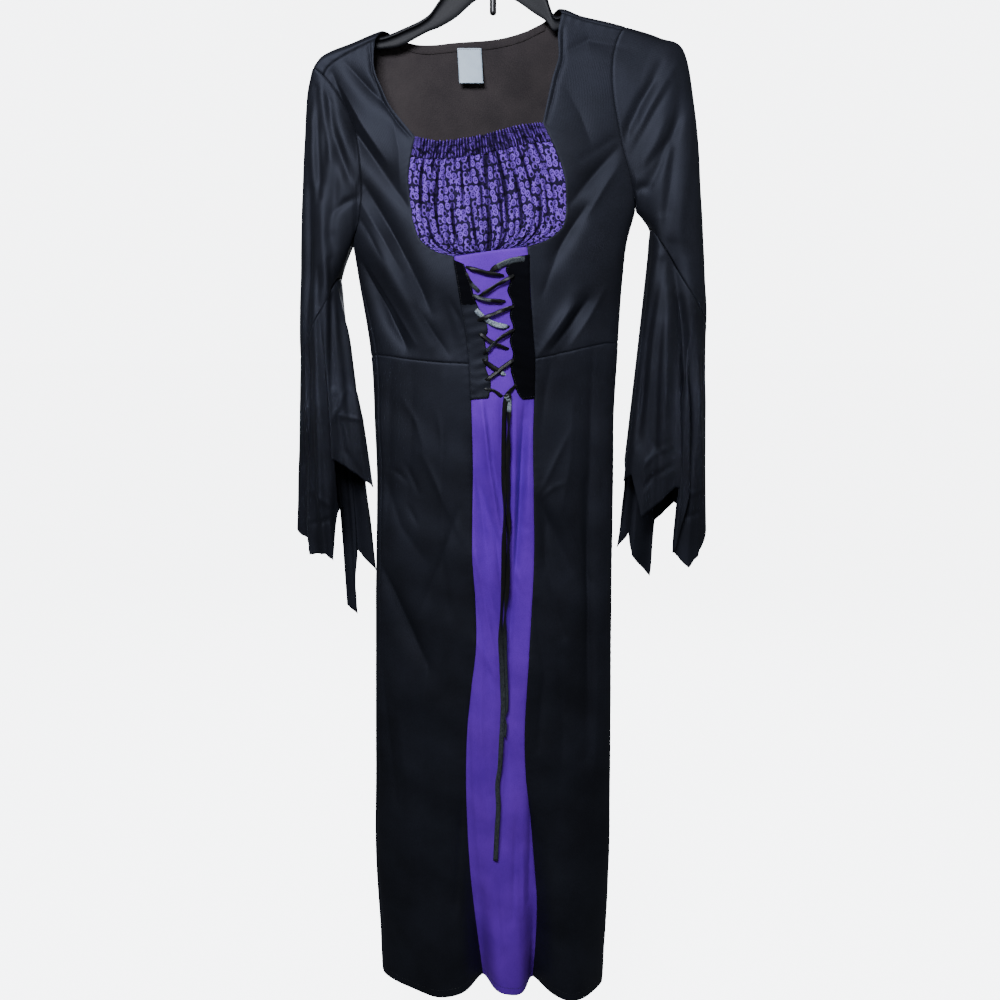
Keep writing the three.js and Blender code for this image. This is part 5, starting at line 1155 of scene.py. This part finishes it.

# %% [markdown]
# ## Small cloth parts
# The plackets carry the lace: the wearer's right one is the dress knit, the left one a very black velour.
# The right one is given the same velour above PILE_ABOVE, so its top is very black too.
# Inside the back neck are the binding and a blank tape label, which hangs from it and curls forward.

# %% Plackets, binding and label
PLACKET_WALL, LAY_GAP = 1.4, 0.35
PILE_ABOVE = -481
PLACKETS = {
    "r": ([(-47.5, -428), (-39.5, -480), (-32.5, -529), (-29.5, -560), (-28.5, -596)],
          [(-35, -433), (-27, -456), (-20, -479), (-8, -503), (-7, -513), (-10, -524), (-6, -545), (-9, -556),
           (-3, -575), (-6, -594)]),
    "l": ([(44, -422), (44, -446), (48, -511), (51, -547), (51, -595)],
          [(30, -424), (15, -439), (21, -452), (17, -464), (23, -480), (20, -494), (24, -508), (20, -524), (24, -540),
           (21, -556), (25, -574), (31, -590), (36, -596)]),
}


def strip(name, edges, rows, cols, lift, wall, face="front", puff=0.0, **looks):
    left, right = (spread(along(edge, rows), face) for edge in edges)
    coords = doubled(mix(left[:, None], right[:, None], np.linspace(0, 1, cols + 1)[None, :, None]))
    points, normals = cloth(coords[..., 0], coords[..., 1], lift)
    s, t = np.linspace(0, 1, coords.shape[1])[None], np.linspace(0, 1, coords.shape[0])[:, None]
    pulled = puff * (np.sin(t * 51 + 2 * s) * s + 0.6 * np.sin(t * 83 + 4 * s + 1) * (0.4 + 0.6 * s) - 0.4)
    return shell(name, seamed(points + normals * pulled[..., None], normals, "tblr", **looks), normals, wall)


for side, slot, finish in (("r", "black_knit", BLACK_KNIT), ("l", "black_pile", PILE)):
    piece = strip("lace_placket_" + side, PLACKETS[side], 140, 18, PLACKET_WALL + LAY_GAP, 1.2,
                  puff=0.42, roll=0.6, pucker=0.5)
    dress_piece(piece, ["placket_" + side], finish)
    if side == "r":
        piece.data.materials.append(PILE)
        for face in piece.data.polygons:
            if face.center.z / MM > PILE_ABOVE:
                face.material_index = 1
neck = [(x, z - 0.4) for x, z in BACK_NECK], [(x, z - 9.9) for x, z in BACK_NECK]
piece = strip("back_neck_binding", neck, 150, 8, -CLOTH - 0.3, 0.9, "back", roll=-0.3, pucker=0.2)
dress_piece(piece, ["neck_binding"], BLACK_KNIT, cut=BINDING_CUT,
            inside=WRONG_SIDE)

LABEL = {"x": -29, "top": -175, "width": 29, "height": 41, "stand": 4.1, "curl": 5}
t, s = np.linspace(0, 1, 40)[:, None], np.linspace(-0.5, 0.5, 16)[None]
back = cloth(*spread([LABEL["x"], LABEL["top"]], "back"))[0][1]
tape = np.stack([LABEL["x"] + s * LABEL["width"] + 2.5 * t,
                 back - LABEL["stand"] - LABEL["curl"] * t ** 2 + 3 * s ** 2 * t,
                 LABEL["top"] - LABEL["height"] * t + 0 * s], axis=-1)
tape_out = np.tile([0.0, -1.0, 0.0], (40, 16, 1))
dress_piece(shell("label_tape", tape, tape_out, 0.5), ["label"], TAPE)

# %% [markdown]
# ## The lacing
# The ribbon crosses between the plackets in short uneven runs, lies double in places and ends in a small
# knot. Each run is a cupped strip that lies on the cloth or on the runs below it.

# %% Lace runs
LACE = [
    (42, -427, 21, -430, 0, -441, 1), (-29, -436, -10, -443, 13, -447, 2), (-30, -441, -27, -455, -15, -467, 1),
    (25, -446, 6, -457, -13, -471, 3), (-23, -469, -7, -475, 15, -477, 2), (27, -482, 4, -490, -16, -500, 2),
    (-21, -483, -5, -501, 20, -508, 1), (28, -509, 11, -519, -8, -540, 2), (-15, -513, -2, -525, 20, -535, 1),
    (27, -545, 8, -559, -8, -575, 2), (-11, -546, 0, -556, 16, -566, 1), (30, -576, 21, -585, 19, -591, 1),
    (-10, -580, 2, -586, 13, -594, 1),
]
# How wide each run shows, as a share of the ribbon; the others lie folded. Then where the pale colour goes:
# a full share is the ribbon's pale back face showing, a small share is a faint grey painted on as sheen.
LACE_WIDTH, FOLDED = {0: 1.15, 6: 1.0, 10: 0.9, 9: 0.85}, 0.76
REVERSE_AND_SHEEN = {0: (0.0, 0.8, 0.22), 2: (0.5, 1.0, 0.12), 4: (0.0, 0.6, 0.14), 6: (0.1, 0.95, 1.0), 7: (0.6, 0.9, 0.1),
           10: (0.8, 1.0, 1.0)}
LACE_REACH = 4
meshes, reverse_and_sheen_marks = [], []
for i, (x1, z1, x2, z2, x3, z3, level) in enumerate(LACE):
    x1, x3 = (x1 - LACE_REACH, x3) if x1 < x3 else (x1, x3 - LACE_REACH)
    s = np.linspace(0, 1, 41)
    sink = 3.4 * (np.exp(-((s / 0.09) ** 2)) + np.exp(-(((1 - s) / 0.09) ** 2)))
    sag = 0.9 * np.sin(math.pi * s) * math.sin(i * 1.9)
    lift = PLACKET_WALL + LAY_GAP * 2 + 0.9 + (level - 1) * 1.2 - sink + sag
    path, normals = cloth(*np.moveaxis(spread(along([(x1, z1), (x2, z2), (x3, z3)], 40)), -1, 0), lift, crumple=0.3)
    twist = 0.5 * np.sin(s * 4 + i * 1.7) * np.sin(math.pi * s) + 0.2 * np.sin(s * 11 + i)
    narrowed = 1 - 0.4 * np.exp(-((s / 0.1) ** 2)) - 0.35 * np.exp(-(((1 - s) / 0.1) ** 2))
    width = (RIBBON["width"] * LACE_WIDTH.get(i, FOLDED) * narrowed)[:, None, None]
    grid, normals = ribbon_grid(path, normals, twist, cup=0.35 + 0.3 * math.sin(i * 2.1), width=width)
    meshes.append(grid_faces(grid, grid - normals * RIBBON["wall"], False))
    start, end, amount = REVERSE_AND_SHEEN.get(i, (2, 3, 0))
    reverse_and_sheen_marks.append(np.tile(np.repeat(amount * ((s > start) & (s < end)), 5), 2))
a = np.linspace(0, 2 * math.pi, 41)
for shift, tilt, amount in ((0, 0.3, 0.0), (2.4, -0.6, 0.8)):
    centre = cloth(*spread([17.5, -591.5 - shift]), 4.4, crumple=0.0)[0]
    loop = centre + np.stack([(4.2 - shift * 0.5) * np.cos(a), 2.4 * np.sin(a), 3.0 * np.cos(a + tilt) * 0.5], axis=1)
    grid, normals = ribbon_grid(loop, unit(loop - centre), np.zeros(41), cup=-0.5, width=5.4)
    meshes.append(grid_faces(grid, grid - normals * RIBBON["wall"], False))
    reverse_and_sheen_marks.append(np.full(2 * 41 * 5, amount))
starts = np.cumsum([0] + [len(verts) for verts, *_ in meshes])
verts = np.concatenate([verts for verts, *_ in meshes])
faces = np.concatenate([faces + start for (_, faces, _), start in zip(meshes, starts)])
uvs = np.concatenate([uvs for *_, uvs in meshes])
lacing = mesh_object("lacing", verts, faces, uvs, {"reverse": np.concatenate(reverse_and_sheen_marks)})
lacing.data.materials.append(SATIN)
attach(lacing, "root")
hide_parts(*["lace_run_%02d" % (i + 1) for i in range(13)])
for piece in cords.values():
    piece.data.materials.append(SATIN)

# %% [markdown]
# ## Stitching
# Every folded edge is held by a row of lockstitch, about ten stitches to the inch, in black thread. A
# stitch is a short bead of thread that sinks in at both ends. Geometry Nodes walk along each row at the
# stitch pitch and set one bead at every step, which is how a machine does it.

# %% Stitch tree
STITCH = {"Pitch": 0.0027, "Stitch length": 0.0021, "Thread": 0.0005}


def stitch_tree():
    tree = bpy.data.node_groups.new("lockstitch", "GeometryNodeTree")
    tree.interface.new_socket("Geometry", in_out="INPUT", socket_type="NodeSocketGeometry")
    for name, value in STITCH.items():
        tree.interface.new_socket(name, in_out="INPUT", socket_type="NodeSocketFloat").default_value = value
    tree.interface.new_socket("Geometry", in_out="OUTPUT", socket_type="NodeSocketGeometry")
    size = add(tree, "NodeGroupInput").outputs
    line = add(tree, "GeometryNodeMeshToCurve", {"Mesh": size["Geometry"]}).outputs[0]
    steps = add(tree, "GeometryNodeCurveToPoints", {"Curve": line, "Length": size["Pitch"]}, mode="LENGTH").outputs
    bead = add(tree, "GeometryNodeMeshUVSphere", {"Segments": 6, "Rings": 4, "Radius": 0.5}).outputs[0]
    turn = add(tree, "FunctionNodeAlignRotationToVector", {"Vector": steps["Tangent"]}, axis="X").outputs[0]
    thread = {"X": size["Stitch length"], "Y": size["Thread"], "Z": size["Thread"]}
    scale = add(tree, "ShaderNodeCombineXYZ", thread).outputs[0]
    set_on = {"Points": steps["Points"], "Instance": bead, "Rotation": turn, "Scale": scale}
    sewn_on = add(tree, "GeometryNodeInstanceOnPoints", set_on).outputs[0]
    real = add(tree, "GeometryNodeRealizeInstances", {"Geometry": sewn_on}).outputs[0]
    done = add(tree, "GeometryNodeSetMaterial", {"Geometry": real, "Material": THREAD}).outputs[0]
    add(tree, "NodeGroupOutput", {"Geometry": done})
    return tree


def row_at(name, side, distance, trim=2):
    """A line over a finished panel, the given distance in from one edge, as points just proud of it."""
    points, normals, _ = GRIDS[name]
    points, normals = (points, normals) if side in "tb" else (points.swapaxes(0, 1), normals.swapaxes(0, 1))
    points, normals = (points, normals) if side in "tl" else (points[::-1], normals[::-1])
    down = runs(points, 0)
    k = np.argmax(down >= distance, axis=0)
    column = np.arange(points.shape[1])
    share = ((distance - down[k - 1, column]) / (down[k, column] - down[k - 1, column]))[:, None]
    line = mix(points[k - 1, column], points[k, column], share)
    proud = mix(normals[k - 1, column], normals[k, column], share) * 0.1
    return (line + proud)[trim:-trim]


def edge_rows(name, half, rows):
    """The inner edge of a front half between two of its pattern rows."""
    line = row_at(name, "l", 2.6, 0)
    z = [cloth(*half["inner"][r])[0][2] for r in rows]
    return line[(line[:, 2] < z[0] - 2) & (line[:, 2] > z[1] + 2)]


rows = [row_at("skirt_front_r", "b", 10), row_at("skirt_front_l", "b", 10), row_at("centre_panel_purple", "b", 10),
        row_at("skirt_back", "b", 10), row_at("insert_casing_print", "t", 4.5), row_at("insert_casing_print", "b", 2.0),
        row_at("back_neck_binding", "b", 1.8), row_at("bodice_back", "t", 2.0)[88:-88],
        edge_rows("bodice_front_r", RIGHT, (0, 5)), edge_rows("bodice_front_l", LEFT, (0, 5)),
        row_at("lace_placket_r", "l", 1.8), row_at("lace_placket_r", "r", 2.0), row_at("lace_placket_l", "r", 2.0),
        row_at("lace_placket_r", "b", 3.0, 3), row_at("lace_placket_l", "b", 3.0, 3), row_at("label_tape", "t", 1.6, 1)]

# %% Stitches
verts = np.concatenate(rows) * MM
ends = np.cumsum([len(row) for row in rows])
edges = [(i, i + 1) for i in range(len(verts) - 1) if i + 1 not in ends]
seam_lines = bpy.data.meshes.new("seam_lines")
seam_lines.from_pydata(verts.tolist(), edges, [])
guide = bpy.data.objects.new("seam_lines", seam_lines)
bpy.context.scene.collection.objects.link(guide)
sewing = guide.modifiers.new("sewing", "NODES")
sewing.node_group = stitch_tree()
for socket in sewing.node_group.interface.items_tree:
    if socket.in_out == "INPUT" and socket.name == "Pitch":
        sewing[socket.identifier] = STITCH["Pitch"]
evaluated = guide.evaluated_get(bpy.context.evaluated_depsgraph_get())
stitches = bpy.data.objects.new("stitches", bpy.data.meshes.new_from_object(evaluated))
bpy.context.scene.collection.objects.link(stitches)
guide.modifiers.clear()
bpy.data.objects.remove(guide)
for face in stitches.data.polygons:
    face.use_smooth = True
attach(stitches, "root")
print("stitch triangles", len(stitches.data.polygons) * 2)

# %% [markdown]
# ## The hanger
# A moulded hanger: each arm is a rounded flange over a thin upright web, and the hook is a round bar that
# stands in a collar. The arm is a section swept along the top edge, with its corners cut twice to give the
# radius a mould leaves.

# %% Hanger
HANGER_NECK = table("x z web", [
    (-141, -165.4, 14), (-131, -165, 14), (-111, -157.8, 18), (-78, -142, 18), (-64, -125, 30), (-44, -100, 44),
    (-20, -83, 42), (0, -78, 42), (24, -82, 42), (50, -98, 42), (63, -118, 30), (72, -140.8, 18), (85, -140, 14),
])
ARM_ENDS = (-200, 212)


def arm_sections(count):
    x = np.linspace(*ARM_ENDS, count)
    z = np.where((x > -141) & (x < 85), look(HANGER_NECK, "x", "z", x), ridge_at(x) - 3.6)
    to_end = np.minimum(x - ARM_ENDS[0], ARM_ENDS[1] - x)
    web = mix(8, look(HANGER_NECK, "x", "web", x), np.minimum(to_end / 60, 1))
    half = [(0, 0), (3.5, -1), (5, -3), (5, -5), (1.5, -6)]
    section = [*((y, z + drop) for y, drop in half), (1.5, z - web), (-1.5, z - web),
               *((-y, z + drop) for y, drop in half[:0:-1])]
    rings = np.stack([np.stack([x, np.full(count, float(y)), level], axis=-1) for y, level in section], axis=1)
    for _ in range(2):
        ahead = np.roll(rings, -1, axis=1)
        rings = np.stack([rings * 0.78 + ahead * 0.22, rings * 0.22 + ahead * 0.78], axis=2).reshape(count, -1, 3)
    return rings


def rings_mesh(rings, loop=False):
    """Faces of a bar through rings, with flat ends, or closed on itself like a washer."""
    count, sides = rings.shape[:2]
    k = np.arange(sides)
    spans = [(i * sides, (i + 1) % count * sides) for i in range(count if loop else count - 1)]
    faces = [(here + k, here + (k + 1) % sides, there + (k + 1) % sides, there + k) for here, there in spans]
    faces = [tuple(int(v) for v in quad) for part in faces for quad in zip(*part)]
    if not loop:
        faces += [tuple(range(sides))[::-1], tuple(range((count - 1) * sides, count * sides))]
    return rings.reshape(-1, 3), faces


def moulded(name, parts, material, node, sharp=35):
    verts, faces = np.zeros((0, 3)), []
    for part_verts, part_faces in parts:
        faces += [tuple(v + len(verts) for v in face) for face in part_faces]
        verts = np.concatenate([verts, part_verts])
    mesh = bpy.data.meshes.new(name)
    mesh.from_pydata((verts * MM).tolist(), [], faces)
    made = bpy.data.objects.new(name, mesh)
    bpy.context.scene.collection.objects.link(made)
    shape = bmesh.new()
    shape.from_mesh(mesh)
    bmesh.ops.recalc_face_normals(shape, faces=shape.faces)
    for face in shape.faces:
        face.smooth = True
    for edge in shape.edges:
        edge.smooth = edge.calc_face_angle(0) < math.radians(sharp)
    shape.to_mesh(mesh)
    shape.free()
    mesh.materials.append(material)
    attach(made, "root")
    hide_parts(node)
    print(name, len(mesh.polygons), "faces")


a = np.linspace(0, 2 * math.pi, 33)[:-1]
profile = [(8.0, -72), (9, -73), (9, -118), (8.2, -119), (5.0, -119), (4.5, -118.4), (4.5, -72.6), (5.0, -72)]
collar = np.stack([np.stack([r * np.cos(a), r * np.sin(a), np.full(32, float(z))], axis=-1)
                   for r, z in profile], axis=1)
moulded("hanger_arms", [rings_mesh(arm_sections(181)), rings_mesh(collar, loop=True)], HANGER,
        "hanger_body")

bend = np.radians(np.arange(-45, 205.1, 5))
hook_path = np.array([(0, -142), (0, -141), (0, -120), (0, -90), (0, -68), (2.5, -57), (9, -45.5),
                      *zip(23 * np.cos(bend), -19 + 23 * np.sin(bend))])
hook_path = along(hook_path, 150)
way = unit(np.gradient(hook_path, axis=0))
bar = 4 * np.sqrt(np.clip(1 - np.clip(1 - np.linspace(0, 150, 151) / 2.2, 0, 1) ** 2, 0.02, 1))
bar = np.minimum(bar, bar[::-1])
a = np.linspace(0, 2 * math.pi, 25)[:-1]
hook_rings = np.stack([hook_path[:, None, 0] + way[:, None, 1] * bar[:, None] * np.cos(a), bar[:, None] * np.sin(a),
                       hook_path[:, None, 1] - way[:, None, 0] * bar[:, None] * np.cos(a)], axis=-1)
moulded("hanger_hook_bar", [rings_mesh(hook_rings)], HOOK, "hanger_hook")

# %% [markdown]
# ## Floor and light
# Plain studio light: one soft source high in front, so the chest is lit and the skirt falls away into
# dark, a weaker one from the viewer's right, one behind for the dress's back, and a narrow weak one on each
# flounce, which would be too dark without it. The room is pale. The floor lies below the hem and is not
# part of the dress.

# %% Studio
floor_mesh = bpy.data.meshes.new("studio_floor")
FLOOR_LEVEL, FLOOR_HALF = -1.52, 30
corners = [(x * FLOOR_HALF, y * FLOOR_HALF, FLOOR_LEVEL) for x, y in ((-1, -1), (1, -1), (1, 1), (-1, 1))]
floor_mesh.from_pydata(corners, [], [(0, 1, 2, 3)])
floor = bpy.data.objects.new("studio_floor", floor_mesh)
bpy.context.scene.collection.objects.link(floor)
paint = surface("matt_white_floor_paint", mottled("#f1f2f4", "#f6f7f8", 0.6), grained(3, 0.02, 0.001), Roughness=0.9,
                Emission_Color=linear("#f8fafd"), Emission_Strength=6.0)
floor_mesh.materials.append(paint)
floor.visible_diffuse = floor.visible_glossy = False


def softbox(name, place, aim, size, power, colour, spread=180):
    light = bpy.data.lights.new(name, "AREA")
    light.shape, light.size, light.size_y = "RECTANGLE", *size
    light.energy, light.color, light.spread = power, linear(colour)[:3], math.radians(spread)
    made = bpy.data.objects.new(name, light)
    made.location = place
    way = np.array(aim) - np.array(place)
    flat = math.hypot(way[0], way[1])
    made.rotation_euler = (math.atan2(flat, -way[2]), 0, math.atan2(way[0], -way[1]) + math.pi)
    bpy.context.scene.collection.objects.link(made)


softbox("key", (-0.35, -1.25, 0.3), (0.0, 0.0, -0.45), (0.6, 0.4), 32, "#f1f4ff")
softbox("side", (1.7, -1.0, 0.0), (0.0, 0.0, -0.55), (0.4, 0.8), 5, "#f2f5ff")
softbox("back", (0.1, 1.9, 0.15), (0.0, 0.0, -0.6), (0.7, 0.7), 34, "#f2f5ff")
for side in (-1, 1):
    softbox("flounce", (0.7 * side, -1.1, -0.55), (0.27 * side, 0.0, -0.6), (0.15, 0.15), 0.035, "#eef2ff", spread=10)
world = bpy.data.worlds.new("pale_room")
world.use_nodes = True
sky = world.node_tree
seen = add(sky, "ShaderNodeLightPath").outputs["Is Camera Ray"]
sky.links.new(add(sky, "ShaderNodeMapRange", {"Value": seen, "To Min": 0.12, "To Max": 6.2}).outputs[0],
              sky.nodes["Background"].inputs["Strength"])
sky.nodes["Background"].inputs["Color"].default_value = linear("#f8fafd")
bpy.context.scene.world = world
